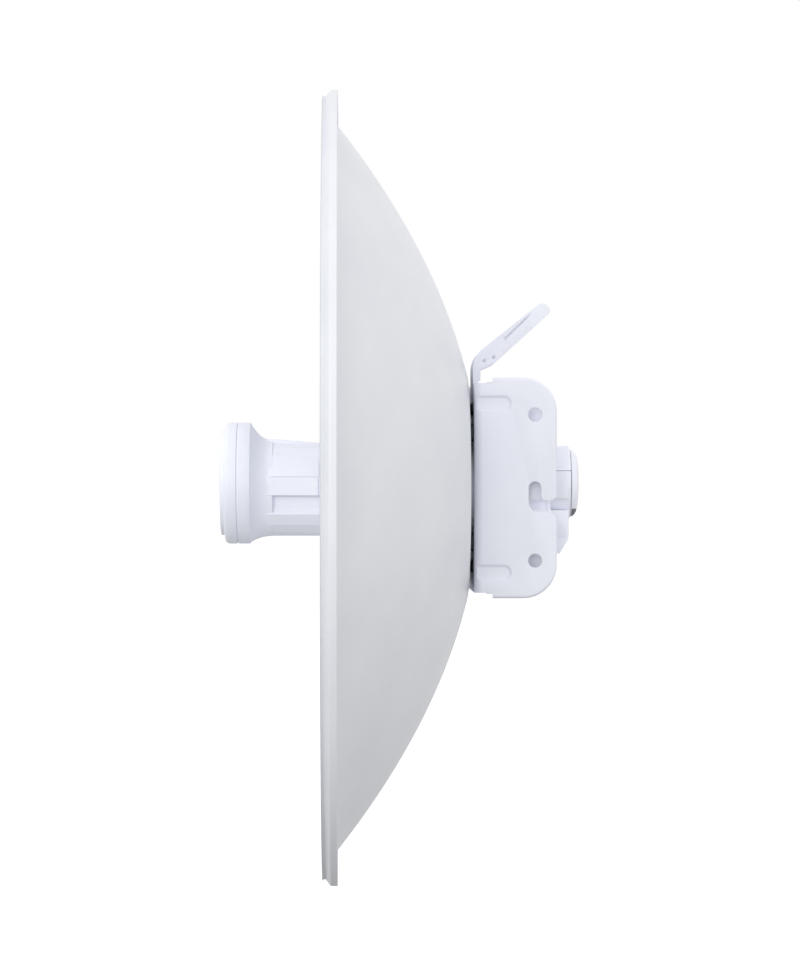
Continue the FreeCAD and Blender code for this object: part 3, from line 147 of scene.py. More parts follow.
for name, place, size, power in (("key", key_place, key_size, key_power),
                                 ("fill", fill_place, fill_size, fill_power)):
    light_data = bpy.data.lights.new(name, "AREA")
    light_data.shape = "DISK"
    light_data.size = size
    light_data.energy = power
    light = bpy.data.objects.new(name, light_data)
    bpy.context.scene.collection.objects.link(light)
    light.location = place
    light.rotation_euler = (view_centre - place).to_track_quat("-Z", "Y").to_euler()


# ---- Dish ----
# One sheet of aluminium pressed to a parabola, with a flat seat behind it, holes for the feed and four
# screws, and its rim turned back over a bevel. It is powder-coated white all over, and the film flows
# into a soft orange peel before it sets.
dish_low, dish_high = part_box("dish_reflector")
dish_sheet = 1.5 * MM
dish_focal = 120.65 * MM
seat_radius = 59.4 * MM
feed_hole = 29.0 * MM
lip_inset = 5.6 * MM
bevel_depth = 4.3 * MM
skirt_rear = dish_low.y + 8.0 * MM
rim_round = 1.3 * MM
bowl_steps = 44
round_steps = 256
screw_x = 25.0 * MM
screw_z = 28.6 * MM
screw_places = [(x, z) for x in (-screw_x, screw_x) for z in (-screw_z, screw_z)]


def drawn(name, points):
    """A chain of edges through points, drawn from one vertex by extruding it from place to place."""
    bpy.ops.object.select_all(action="DESELECT")
    bpy.ops.mesh.primitive_plane_add(size=MM)
    piece = bpy.context.object
    piece.name = name
    piece.data.name = name
    bpy.ops.object.mode_set(mode="EDIT")
    bpy.ops.mesh.merge(type="CENTER")
    bpy.ops.transform.translate(value=points[0])
    for last, point in zip(points, points[1:]):
        bpy.ops.mesh.extrude_vertices_move(TRANSFORM_OT_translate={"value": Vector(point) - Vector(last)})
    return piece


def softened(corners, radii, steps=5):
    """A closed 2-D outline with the corners named in radii rounded, each by its own radius."""
    points = []
    for index, corner in enumerate(corners):
        corner = Vector(corner)
        radius = radii.get(index, 0.0)
        if not radius:
            points.append(corner)
            continue
        before = (Vector(corners[index - 1]) - corner).normalized()
        after = (Vector(corners[(index + 1) % len(corners)]) - corner).normalized()
        half = before.angle(after) / 2
        centre = corner + (before + after).normalized() * radius / math.sin(half)
        reach = radius / math.tan(half)
        for step in range(steps + 1):
            spoke = (corner + before * reach - centre).lerp(corner + after * reach - centre, step / steps)
            points.append(centre + spoke.normalized() * radius)
    return points


def sealed():
    """Merge what coincides on the mesh in edit mode, turn its faces outwards and leave edit mode."""
    bpy.ops.mesh.select_all(action="SELECT")
    bpy.ops.mesh.remove_doubles(threshold=0.002 * MM)
    bpy.ops.mesh.normals_make_consistent(inside=False)
    bpy.ops.object.mode_set(mode="OBJECT")


def spun(name, profile, axis_x, axis_z, steps):
    """Turn a closed profile of (radius, y) about the line along Y through (axis_x, axis_z)."""
    piece = drawn(name, [(axis_x + radius, y, axis_z) for radius, y in profile + profile[:1]])
    bpy.ops.mesh.select_all(action="SELECT")
    bpy.ops.mesh.spin(steps=steps, angle=2 * math.pi, center=(axis_x, 0.0, axis_z), axis=(0.0, 1.0, 0.0))
    sealed()
    return piece


def cut(piece, tool, operation="DIFFERENCE"):
    """Take the tool's volume away from the piece, or add it, and take the tool out of the scene."""
    bpy.ops.object.select_all(action="DESELECT")
    bpy.context.view_layer.objects.active = piece
    piece.select_set(True)
    modifier = piece.modifiers.new("cut", "BOOLEAN")
    modifier.operation = operation
    modifier.solver = "EXACT"
    modifier.object = tool
    bpy.ops.object.modifier_apply(modifier="cut")
    bpy.data.objects.remove(tool)


def rod(radius, start, end, sides=32):
    """A cylinder between two points, to cut a round hole with."""
    run = Vector(end) - Vector(start)
    bpy.ops.object.select_all(action="DESELECT")
    bpy.ops.mesh.primitive_cylinder_add(vertices=sides, radius=radius, depth=run.length,
                                        location=(Vector(start) + Vector(end)) / 2,
                                        rotation=run.to_track_quat("Z", "Y").to_euler())
    bpy.ops.object.transform_apply()
    return bpy.context.object


def finished(piece, body, slot, material, *stands_for, smooth=28):
    """Shade, coat and hang a piece: its smooth angle, material, body, slot (not used) and the CAD nodes it
    is.
    """
    bpy.ops.object.select_all(action="DESELECT")
    bpy.context.view_layer.objects.active = piece
    piece.select_set(True)
    bpy.ops.object.shade_smooth_by_angle(angle=math.radians(smooth))
    piece.data.materials.clear()
    piece.data.materials.append(material)
    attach(piece, body)
    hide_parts(*stands_for)


def bowl(offset, first, last):
    """Points (radius, y) on the dish's back surface, moved offset towards its focus."""
    vertex = dish_high.y + seat_radius ** 2 / (4 * dish_focal)
    points = []
    for step in range(bowl_steps + 1):
        radius = first + (last - first) * step / bowl_steps
        slope = radius / (2 * dish_focal)
        length = math.hypot(1, slope)
        points.append((radius - offset * slope / length,
                       vertex - radius * slope / 2 - offset / length))
    return points


lip_back = dish_low.y + dish_sheet
vertex_to_lip = dish_high.y + seat_radius ** 2 / (4 * dish_focal) - lip_back
bowl_edge = math.sqrt(vertex_to_lip * 4 * dish_focal)
lip_radius = dish_high.x - lip_inset
shoulder = dish_low.y + bevel_depth
fold = dish_sheet * 0.4
inside_skirt = dish_high.x - dish_sheet
back_face = bowl(0.0, seat_radius, bowl_edge)
front_face = bowl(dish_sheet, seat_radius, bowl_edge)[1:-1]
rim = softened([(bowl_edge, dish_low.y), (lip_radius, dish_low.y), (dish_high.x, shoulder),
                (dish_high.x, skirt_rear), (inside_skirt, skirt_rear), (inside_skirt, shoulder + fold),
                (lip_radius - fold, lip_back)],
               {0: rim_round, 1: rim_round, 2: rim_round, 3: dish_sheet / 3, 4: dish_sheet / 3,
                6: rim_round})
profile = [(feed_hole, dish_high.y)] + back_face + [tuple(point) for point in reversed(rim)]
profile += list(reversed(front_face)) + [(seat_radius - 0.2 * MM, dish_high.y - dish_sheet),
                                         (feed_hole, dish_high.y - dish_sheet)]
dish = spun("dish", profile, 0.0, 0.0, round_steps)
hole_radius = 2.2 * MM
for x, z in screw_places:
    cut(dish, rod(hole_radius, (x, dish_high.y + dish_sheet, z), (x, dish_high.y - 2 * dish_sheet, z)))


# Powder coat as the white finishes of this antenna have it: slow mottling of colour and gloss, and a
# fine relief, orange peel on the coats and the mould's spark-eroded grain on the plastics.
def white_finish(name, colour, shade, grain_mm, grain_depth_mm, roughness, coat, light_depth_mm):
    """A white surface with a relief of grain_mm, into which light may pass light_depth_mm."""
    material, tree = new_material(name)
    place = add_node(tree, "ShaderNodeTexCoord").outputs["Object"]
    mottle_mm = 38.0
    mottle = add_node(tree, "ShaderNodeTexNoise", {"Vector": place, "Scale": 1 / (mottle_mm * MM),
                                                   "Detail": 3.0, "Roughness": 0.55})
    grain = add_node(tree, "ShaderNodeTexNoise", {"Vector": place, "Scale": 1 / (grain_mm * MM),
                                                  "Detail": 2.0})
    tone = add_node(tree, "ShaderNodeMapRange", {"Value": mottle.outputs["Fac"], "From Min": 0.35,
                                                 "From Max": 0.65})
    paint = add_node(tree, "ShaderNodeMix", {"Factor": tone.outputs["Result"], "A": linear(colour),
                                             "B": linear(shade)}, data_type="RGBA")
    gloss = add_node(tree, "ShaderNodeMapRange", {"Value": grain.outputs["Fac"], "From Min": 0.3,
                                                  "From Max": 0.7, "To Min": roughness - 0.05,
                                                  "To Max": roughness + 0.06})
    relief = add_node(tree, "ShaderNodeBump", {"Height": grain.outputs["Fac"], "Strength": 0.35,
                                               "Distance": grain_depth_mm * MM})
    shader = add_node(tree, "ShaderNodeBsdfPrincipled",
                      {"Base Color": paint.outputs["Result"], "Roughness": gloss.outputs["Result"],
                       "Normal": relief.outputs["Normal"], "Coat Weight": coat, "Coat Roughness": 0.25})
    if light_depth_mm:
        shader.inputs["Subsurface Weight"].default_value = 0.08
        shader.inputs["Subsurface Radius"].default_value = (light_depth_mm * MM,) * 3
    add_node(tree, "ShaderNodeOutputMaterial", {"Surface": shader.outputs["BSDF"]})
    return material


dish_powder_coat = white_finish("powder_coated_aluminium", "E4E6EB", "E0E2E8", 1.5, 0.04, 0.42, 0.15, 0)
finished(dish, "root", "dish_coat", dish_powder_coat, "dish_reflector", smooth=20)


# ---- Bracket ----
# Steel sheet 2.5 mm thick, cut, pressed and bent into a channel with two hooked flanges, stiffening
# ribs and a hanging loop, then powder-coated. The cut edges are tumbled, so each has a small round
# that catches the light.
def eased(node, edge_mm, segments=2):
    """A copy of a CAD node, merged into clean faces, with its sharp edges rounded by edge_mm."""
    piece = nodes[node].copy()
    piece.data = nodes[node].data.copy()
    piece.name = node + "_eased"
    piece.parent = None
    for mark in list(piece.keys()):
        del piece[mark]
    bpy.context.scene.collection.objects.link(piece)
    bpy.ops.object.select_all(action="DESELECT")
    bpy.context.view_layer.objects.active = piece
    piece.select_set(True)
    bpy.ops.object.mode_set(mode="EDIT")
    bpy.ops.mesh.select_all(action="SELECT")
    bpy.ops.mesh.remove_doubles(threshold=0.001 * MM)
    bpy.ops.mesh.dissolve_limited(angle_limit=math.radians(1.0))
    bpy.ops.object.mode_set(mode="OBJECT")
    modifier = piece.modifiers.new("edge", "BEVEL")
    modifier.width = edge_mm * MM
    modifier.segments = segments
    modifier.limit_method = "ANGLE"
    modifier.angle_limit = math.radians(40.0)
    modifier.use_clamp_overlap = True
    bpy.ops.object.modifier_apply(modifier="edge")
    return piece


bracket_powder_coat = white_finish("powder_coated_steel", "EBEDF6", "E7E9F3", 1.3, 0.03, 0.46, 0.1, 0)
bracket = eased("mounting_bracket", 0.6, 3)
finished(bracket, "root", "bracket_coat", bracket_powder_coat, "mounting_bracket", smooth=35)


# ---- Fasteners of the dish and bracket ----
# Four stainless button-head screws from the dish's front, each through a nylon standoff, with a
# split spring washer and a hexagon nut behind the bracket. The standoffs are coloured black as painted
# shade, to darken the gap between the dish and the bracket. Turned, rolled and pressed parts, so their
# edges are crisp and slightly rounded.
head_radius = 3.8 * MM
head_height = 2.2 * MM
shank_radius = 2.0 * MM
socket_flats = 2.5 * MM
socket_depth = 1.3 * MM
washer_radius = 3.8 * MM
washer_gap = 0.8 * MM
standoff_radius = 5.0 * MM
nut_flats = 7.0 * MM
nut_chamfer = 0.45 * MM
edge_round = 0.25 * MM
small_steps = 48


def block(centre, size):
    """A box of the given size about its centre, to cut with or to add."""
    bpy.ops.object.select_all(action="DESELECT")
    bpy.ops.mesh.primitive_cube_add(size=1.0, location=centre)
    bpy.ops.transform.resize(value=size)
    bpy.ops.object.transform_apply()
    return bpy.context.object


def repeated(piece, places):
    """The piece, which is at the first place (x, z), and a copy with its own mesh at each further one."""
    copies = [piece]
    first_x, first_z = places[0]
    for number, (x, z) in enumerate(places[1:], 2):
        other = piece.copy()
        other.data = piece.data.copy()
        other.name = "%s_%d" % (piece.name, number)
        bpy.context.scene.collection.objects.link(other)
        bpy.ops.object.select_all(action="DESELECT")
        bpy.context.view_layer.objects.active = other
        other.select_set(True)
        bpy.ops.transform.translate(value=(x - first_x, 0.0, z - first_z))
        bpy.ops.object.transform_apply()
        copies.append(other)
    return copies


def hexagonal(name, flats, y0, y1, x, z):
    """A six-sided bar along Y, flats wide across its flats."""
    bpy.ops.object.select_all(action="DESELECT")
    bpy.ops.mesh.primitive_cylinder_add(vertices=6, radius=flats / math.sqrt(3), depth=y1 - y0,
                                        location=(x, (y0 + y1) / 2, z), rotation=(math.pi / 2, 0.0, 0.0))
    bpy.ops.object.transform_apply()
    bpy.context.object.name = name
    return bpy.context.object


def metal_finish(name, colour, tint, roughness, scratch_mm, stretch, depth_mm):
    """A metal whose gloss and relief follow scratches scratch_mm wide, drawn out by stretch."""
    material, tree = new_material(name)
    place = add_node(tree, "ShaderNodeTexCoord").outputs["Object"]
    drawn_out = add_node(tree, "ShaderNodeMapping", {"Vector": place, "Scale": stretch})
    scratches = add_node(tree, "ShaderNodeTexNoise", {"Vector": drawn_out.outputs["Vector"],
                                                      "Scale": 1 / (scratch_mm * MM), "Detail": 3.0})
    cloud_mm = 2.5
    cloud = add_node(tree, "ShaderNodeTexNoise", {"Vector": place, "Scale": 1 / (cloud_mm * MM)})
    surface = add_node(tree, "ShaderNodeMix", {"Factor": cloud.outputs["Fac"], "A": linear(colour),
                                               "B": linear(tint)}, data_type="RGBA")
    gloss = add_node(tree, "ShaderNodeMapRange", {"Value": scratches.outputs["Fac"],
                                                  "To Min": roughness - 0.1, "To Max": roughness + 0.12})
    relief = add_node(tree, "ShaderNodeBump", {"Height": scratches.outputs["Fac"], "Strength": 0.4,
                                               "Distance": depth_mm * MM})
    shader = add_node(tree, "ShaderNodeBsdfPrincipled",
                      {"Base Color": surface.outputs["Result"], "Metallic": 1.0,
                       "Roughness": gloss.outputs["Result"], "Normal": relief.outputs["Normal"]})
    add_node(tree, "ShaderNodeOutputMaterial", {"Surface": shader.outputs["BSDF"]})
    return material


def matt_finish(name, colour, shade, grain_mm, roughness):
    """A dull moulded surface whose colour and relief vary with a grain of grain_mm."""
    material, tree = new_material(name)
    place = add_node(tree, "ShaderNodeTexCoord").outputs["Object"]
    grain = add_node(tree, "ShaderNodeTexNoise", {"Vector": place, "Scale": 1 / (grain_mm * MM),
                                                  "Detail": 4.0})
    surface = add_node(tree, "ShaderNodeMix", {"Factor": grain.outputs["Fac"], "A": linear(colour),
                                               "B": linear(shade)}, data_type="RGBA")
    relief = add_node(tree, "ShaderNodeBump", {"Height": grain.outputs["Fac"], "Strength": 0.5,
                                               "Distance": 0.05 * MM})
    shader = add_node(tree, "ShaderNodeBsdfPrincipled",
                      {"Base Color": surface.outputs["Result"], "Roughness": roughness,
                       "Normal": relief.outputs["Normal"]})
    add_node(tree, "ShaderNodeOutputMaterial", {"Surface": shader.outputs["BSDF"]})
    return material


stainless = metal_finish("turned_stainless_steel", "C9C8C5", "BBBBBA", 0.28, 0.4, (1.0, 0.2, 1.0), 0.02)
# Black nylon for the socket and the reset switch; on the standoffs the black is painted shade for the gap
# behind the dish.
dark_nylon_and_gap_shade = matt_finish("moulded_nylon_black_with_gap_shade", "2E3138", "383B43", 0.6, 0.45)
first_x, first_z = screw_places[0]
seat_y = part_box("bracket_screws")[0].y + head_height
end_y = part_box("bracket_screws")[1].y
crown_steps = 8
crown = []
for step in range(crown_steps):
    lean = step * math.pi / 2 / crown_steps
    crown.append((head_radius * math.sin(lean), seat_y - head_height * math.cos(lean)))
screw = spun("dish_screw", crown + [(head_radius, seat_y), (shank_radius, seat_y),
                                    (shank_radius, end_y - edge_round), (shank_radius - edge_round, end_y),
                                    (0.0, end_y)], first_x, first_z, small_steps)
cut(screw, hexagonal("hexagon_key", socket_flats, seat_y - 2 * head_height,
                     seat_y - head_height + socket_depth, first_x, first_z))
for piece in repeated(screw, screw_places):
    finished(piece, "root", "stainless", stainless, "bracket_screws")

front_y, rear_y = (corner.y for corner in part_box("standoff_spacers"))
standoff = spun("dish_standoff", softened([(hole_radius, front_y), (standoff_radius, front_y),
                                           (standoff_radius, rear_y), (hole_radius, rear_y)],
                                          {1: edge_round, 2: edge_round}), first_x, first_z, small_steps)
# Painted shade: the standoffs are black so that the gap between dish and bracket reads dark.
for piece in repeated(standoff, screw_places):
    finished(piece, "root", "black_plastic", dark_nylon_and_gap_shade, "standoff_spacers")

front_y, rear_y = (corner.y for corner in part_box("bracket_lock_washers"))
washer = spun("spring_washer", softened([(hole_radius, front_y), (washer_radius, front_y),
                                         (washer_radius, rear_y), (hole_radius, rear_y)],
                                        {1: edge_round / 2, 2: edge_round / 2}),
              first_x, first_z, small_steps)
cut(washer, block((first_x, (front_y + rear_y) / 2, first_z + washer_radius),
                  (washer_gap, 3 * MM, 2 * washer_radius - 2 * MM)))
for piece in repeated(washer, screw_places):
    finished(piece, "root", "stainless", stainless, "bracket_lock_washers")

front_y, rear_y = (corner.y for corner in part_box("bracket_nuts"))
nut = hexagonal("hexagon_nut", nut_flats, front_y, rear_y, first_x, first_z)
crop_radius = nut_flats / math.sqrt(3) + nut_chamfer
crop = [(nut_flats / 2, rear_y + MM), (nut_flats / 2, rear_y), (crop_radius, rear_y - nut_chamfer * 1.2),
        (crop_radius, rear_y + MM)]
cut(nut, spun("nut_chamfer", crop, first_x, first_z, small_steps))
cut(nut, rod(shank_radius, (first_x, front_y - MM, first_z), (first_x, rear_y + MM, first_z)))
for piece in repeated(nut, screw_places):
    finished(piece, "root", "stainless", stainless, "bracket_nuts")


# ---- Housing and its screws ----
# Four mouldings of white UV-stable ASA: the tub between the flanges, the plate that closes it behind,
# the sleeve that the feed slides in, and the cable bay's tray. The mould's spark-eroded grain makes
# them satin. Four black-passivated cross-head screws hold the tub to the bracket's web.
moulded_asa = white_finish("moulded_white_asa", "F4F6FF", "F0F2FC", 0.8, 0.03, 0.48, 0.0, 0.6)
black_steel = metal_finish("blackened_steel", "3A3A3D", "303033", 0.42, 0.5, (1.0, 1.0, 1.0), 0.02)
for node in ("rear_housing", "housing_back", "feed_sleeve", "cable_bay_tray"):
    finished(eased(node, 0.3), "root", "white_plastic", moulded_asa, node, smooth=35)

pan_radius = 3.4 * MM
pan_height = 1.5 * MM
cross_width = 0.8 * MM
cross_length = 3.2 * MM
cross_depth = 0.7 * MM
bolt_radius = 1.5 * MM
bolt_x = 20.0 * MM
bolt_z = 41.5 * MM
bolt_places = [(x, z) for x in (-bolt_x, bolt_x) for z in (-bolt_z, bolt_z)]
front_y, rear_y = (corner.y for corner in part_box("housing_screws"))
under_head = front_y + pan_height
pan = softened([(0.0, front_y), (pan_radius, front_y), (pan_radius, under_head), (bolt_radius, under_head),
                (bolt_radius, rear_y - bolt_radius), (0.0, rear_y)], {1: 1.0 * MM, 4: edge_round})
bolt = spun("housing_screw", pan, -bolt_x, -bolt_z, small_steps)
for width, length in ((cross_width, cross_length), (cross_length, cross_width)):
    cut(bolt, block((-bolt_x, front_y, -bolt_z), (width, 2 * cross_depth, length)))
for piece in repeated(bolt, bolt_places):
    finished(piece, "root", "black_steel", black_steel, "housing_screws")


# ---- Collar, its gasket and the cable grommet ----
# The collar is a moulded ASA ring that trims the dish's hole, on a thin nitrile gasket. The grommet is a
# split nitrile bush that a network cable would be pressed into.
tube_axis_z = (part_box("feed_collar")[0].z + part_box("feed_collar")[1].z) / 2
front_y, rear_y = (corner.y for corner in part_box("feed_collar"))
collar_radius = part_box("feed_collar")[1].x
collar_bore = 25.7 * MM
collar_steps = 160
neck_radius = 27.8 * MM
neck_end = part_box("feed_sleeve")[0].y - 0.1 * MM
collar = spun("feed_collar_ring",
              softened([(collar_bore, front_y), (collar_radius, front_y), (collar_radius, rear_y),
                        (neck_radius, rear_y), (neck_radius, neck_end), (collar_bore, neck_end)],
                       {0: 0.5 * MM, 1: 2.6 * MM, 2: edge_round}, 8), 0.0, tube_axis_z, collar_steps)
finished(collar, "root", "white_plastic", moulded_asa, "feed_collar")

nitrile_rubber = matt_finish("moulded_nitrile_rubber", "26282B", "323438", 0.5, 0.75)
front_y, rear_y = (corner.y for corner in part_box("collar_gasket"))
gasket_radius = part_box("collar_gasket")[1].x
gasket_bore = 29.6 * MM
gasket = spun("collar_gasket_ring", softened([(gasket_bore, front_y), (gasket_radius, front_y),
                                              (gasket_radius, rear_y), (gasket_bore, rear_y)],
                                             {1: 0.2 * MM, 2: 0.2 * MM}), 0.0, tube_axis_z, collar_steps)
finished(gasket, "root", "black_rubber", nitrile_rubber, "collar_gasket")
finished(eased("cable_grommet", 0.25), "root", "black_rubber", nitrile_rubber, "cable_grommet", smooth=35)


# ---- Release: slider, latch and spring ----
# The saddle over the sleeve slides back to lift the latch out of the feed. Saddle and latch are
# moulded ASA like the housing, and the spring is coiled from drawn steel wire.


def coated(node, material):
    """Give a CAD node's own mesh a material."""
    nodes[node].data.materials.clear()
    nodes[node].data.materials.append(material)


spring_wire = metal_finish("drawn_spring_steel", "8E8F92", "77787B", 0.3, 0.3, (1.0, 1.0, 0.3), 0.02)
finished(eased("release_slider", 0.25), "release", "white_plastic", moulded_asa, "release_slider", smooth=35)
finished(eased("latch_plate", 0.3), "latch", "white_plastic", moulded_asa, "latch_plate", smooth=35)
coated("latch_spring", spring_wire)


# ---- Port cover ----
# A thin hollow ASA moulding that slides down off the cable bay, with a bevelled chin and a notch that
# the cable leaves by.
finished(eased("port_cover", 0.4, 3), "cover", "white_plastic", moulded_asa, "port_cover", smooth=35)


# ---- Feed head ----
# Two ASA mouldings: a round cap with a raised front disc, and a base that flares from the tube out to
# the cap. A fine seam runs round between them. The splash plate and the element are inside.
head_low, head_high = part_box("reflector_cap")
head_axis_z = (head_low.z + head_high.z) / 2
feed_radius = head_high.x
disc_radius = 27.6 * MM
disc_depth = 2.2 * MM
cap_wall = 1.8 * MM
cap_steps = 192
disc_rear = head_low.y + disc_depth
cap_bore = feed_radius - cap_wall
cap = spun("feed_cap",
           softened([(0.0, head_low.y), (disc_radius, head_low.y), (disc_radius, disc_rear),
                     (feed_radius, disc_rear), (feed_radius, head_high.y), (cap_bore, head_high.y),
                     (cap_bore, disc_rear + cap_wall), (disc_radius - cap_wall, disc_rear + cap_wall),
                     (disc_radius - cap_wall, head_low.y + cap_wall), (0.0, head_low.y + cap_wall)],
                    {1: 0.9 * MM, 2: 0.5 * MM, 3: 2.4 * MM, 4: 0.4 * MM}, 8), 0.0, head_axis_z, cap_steps)
finished(cap, "feed", "white_plastic", moulded_asa, "reflector_cap")


def ringed(name, rings, steps):
    """A skin through ovals of (y, centre z, radius in x, radius in z), each drawn out of the last."""
    bpy.ops.object.select_all(action="DESELECT")
    y, z = rings[0][:2]
    bpy.ops.mesh.primitive_circle_add(vertices=steps, radius=rings[0][3], location=(0.0, y, z),
                                      rotation=(math.pi / 2, 0.0, 0.0))
    bpy.ops.object.transform_apply()
    piece = bpy.context.object
    piece.name = name
    bpy.ops.object.mode_set(mode="EDIT")
    bpy.ops.mesh.select_all(action="SELECT")
    for last, ring in zip(rings, rings[1:]):
        step = Vector((0.0, ring[0] - last[0], ring[1] - last[1]))
        bpy.ops.mesh.extrude_region_move(TRANSFORM_OT_translate={"value": step})
        bpy.ops.transform.resize(value=(ring[2] / last[2], 1.0, ring[3] / last[3]),
                                 center_override=(0.0, ring[0], ring[1]))
    return piece


ring_front = head_high.y + 0.5 * MM
ring_rear = -148.6 * MM
flare_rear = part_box("feed_head_base")[1].y
flare_wide = 24.3 * MM
flare_high = 25.5 * MM
flare_axis_z = -0.1 * MM
groove_radius = feed_radius - 0.5 * MM
spigot_radius = feed_radius - 2.4 * MM
bore_radius = 20.0 * MM
spigot_end = head_high.y - 3.6 * MM
flare_steps = 16
flare_hollow = 2.2
base_steps = 160
ring_profile = [(spigot_end, bore_radius), (spigot_end, spigot_radius),
                (head_high.y - 0.1 * MM, spigot_radius), (head_high.y + 0.1 * MM, groove_radius),
                (ring_front - 0.05 * MM, groove_radius),
                (ring_front, feed_radius - 0.4 * MM), (ring_front + 0.4 * MM, feed_radius),
                (ring_rear - 0.9 * MM, feed_radius), (ring_rear - 0.2 * MM, feed_radius - 0.3 * MM)]
rings = [(y, head_axis_z, radius, radius) for y, radius in ring_profile]
flare_start = feed_radius - 0.8 * MM
for step in range(flare_steps + 1):
    along = step / flare_steps
    fall = (1 - along) ** flare_hollow
    rings.append((ring_rear + along * (flare_rear - ring_rear),
                  flare_axis_z + fall * (head_axis_z - flare_axis_z),
                  flare_wide + fall * (flare_start - flare_wide),
                  flare_high + fall * (flare_start - flare_high)))
rings += [(flare_rear + 0.3 * MM, flare_axis_z, flare_wide - 0.4 * MM, flare_high - 0.4 * MM),
          (flare_rear + 0.4 * MM, flare_axis_z, flare_wide - 1.0 * MM, flare_high - 1.0 * MM),
          (flare_rear + 0.4 * MM, flare_axis_z, bore_radius, bore_radius),
          (spigot_end, head_axis_z, bore_radius, bore_radius)]
base = ringed("feed_base", rings, base_steps)
sealed()
# The tube's half-shells end inside the base, so the next section cuts it to their outline.


# ---- Feed tube ----
# Two half-shells screwed together from below: the upper one faceted, with a sloping rib on top and a
# raised pad on each side, the lower one stepped in under it. Moulded ASA with rounded edges, pushed
# into the flare of the head's base.
tube_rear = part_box("feed_upper_shell")[1].y
split_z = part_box("feed_upper_shell")[0].z
tube_front = -143.0 * MM
tube_wall = 2.0 * MM
seam_gap = 0.08 * MM
upper_corners = [(6.5, 23.6, 1.6), (12.7, 21.0, 2.5), (18.0, 16.7, 1.5), (24.3, 5.2, 1.2)]
lower_corners = [(19.7, -12.2, 0.8), (21.3, -13.6, 0.8), (16.0, -19.6, 2.5), (9.0, -23.7, 2.5),
                 (2.0, -25.4, 1.5)]
upper_half = [(x * MM, z * MM, radius * MM) for x, z, radius in upper_corners]
upper_half.append((24.5 * MM, split_z + seam_gap, 0.5 * MM))
lower_half = [(20.9 * MM, split_z, 0.3 * MM)]
lower_half += [(x * MM, z * MM, radius * MM) for x, z, radius in lower_corners]


def thickened(name, outline, run):
    """A bar with a closed outline of places, drawn out along run and left in edit mode."""
    piece = drawn(name, outline + outline[:1])
    bpy.ops.mesh.select_all(action="SELECT")
    bpy.ops.mesh.remove_doubles(threshold=0.002 * MM)
    bpy.ops.mesh.edge_face_add()
    bpy.ops.mesh.extrude_region_move(TRANSFORM_OT_translate={"value": run})
    return piece


def rounded(width):
    """Round all edges of the mesh in edit mode, and seal it."""
    bpy.ops.mesh.select_all(action="SELECT")
    bpy.ops.mesh.bevel(offset=width, segments=3)
    sealed()


def half_shell(name, half, growth, y0, y1):
    """One half of the tube from y0 to y1, its outline of (x, z, corner radius) moved out by growth."""
    moved = []
    for x, z, radius in half:
        scale = 1 + growth / math.hypot(x, z)
        moved.append((x * scale, z if abs(z - split_z) < MM / 2 else z * scale, radius))
    around = moved + [(-x, z, radius) for x, z, radius in reversed(moved)]
    outline = softened([(x, z) for x, z, radius in around],
                       {index: corner[2] for index, corner in enumerate(around)}, 6)
    piece = thickened(name, [(x, y0, z) for x, z in outline], (0.0, y1 - y0, 0.0))
    sealed()
    return piece


upper = half_shell("feed_tube_upper", upper_half, 0.0, tube_front, tube_rear)
rib_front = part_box("feed_upper_shell")[0].y
rib_half = 6.0 * MM
rib_rear = -112.0 * MM
rib_foot = 20.0 * MM
rib_top = 25.8 * MM
rib_low_top = 23.8 * MM
rib_side = [(rib_front - 3 * MM, rib_foot), (rib_front - 3 * MM, rib_top), (rib_front + 2 * MM, rib_top),
            (rib_rear, rib_low_top), (rib_rear, rib_foot)]
rib = thickened("feed_rib", [(-rib_half, y, z) for y, z in rib_side], (2 * rib_half, 0.0, 0.0))
rounded(0.6 * MM)
cut(upper, rib, "UNION")
pad_rear = -112.6 * MM
pad_length = 26.0 * MM
pad_height = 0.5 * MM
pad_low = Vector((24.3 * MM, 5.8 * MM))
pad_high = Vector((18.0 * MM, 16.3 * MM))
pad_width = (pad_high - pad_low).length
pad_lean = math.atan2(pad_low.x - pad_high.x, pad_high.y - pad_low.y)
pad_middle = (pad_low + pad_high) / 2
for side in (-1, 1):
    pad = block((0.0, pad_rear - pad_length / 2, 0.0), (2 * pad_height, pad_length, pad_width))
    bpy.ops.object.mode_set(mode="EDIT")
    rounded(pad_height * 0.6)
    bpy.ops.transform.rotate(value=side * pad_lean, orient_axis="Y", center_override=(0.0, 0.0, 0.0))
    bpy.ops.transform.translate(value=(side * pad_middle.x, 0.0, pad_middle.y))
    bpy.ops.object.transform_apply()
    cut(upper, pad, "UNION")
notch_x = 26.5 * MM
notch_z = 0.8 * MM
notch_size = (6.0 * MM, 1.0 * MM, 9.0 * MM)
for side in (-1, 1):
    cut(upper, block((side * notch_x, pad_rear, notch_z), notch_size))
cut(upper, half_shell("upper_bore", upper_half, -tube_wall, tube_front - MM, tube_rear - MM))

lower = half_shell("feed_tube_lower", lower_half, 0.0, tube_front, tube_rear)
recess_radius = 2.5 * MM
head_inset = 2.3 * MM
below_tube = -27.0 * MM
screw_low, screw_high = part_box("feed_screws")
for x in (screw_low.x + head_inset, screw_high.x - head_inset):
    for y in (screw_low.y + head_inset, screw_high.y - head_inset):
        cut(lower, rod(recess_radius, (x, y, below_tube), (x, y, screw_low.z + 0.4 * MM)))
cut(lower, half_shell("lower_bore", lower_half, -tube_wall, tube_front - MM, tube_rear - MM))

press_fit = 0.02 * MM
for half in (upper_half, lower_half):
    cut(base, half_shell("base_bore", half, -press_fit, tube_front - 0.2 * MM, flare_rear + 2 * MM))
finished(base, "feed", "white_plastic", moulded_asa, "feed_head_base", smooth=32)
finished(upper, "feed", "white_plastic", moulded_asa, "feed_upper_shell", smooth=32)
finished(lower, "feed", "white_plastic", moulded_asa, "feed_lower_shell", smooth=32)
coated("feed_screws", stainless)
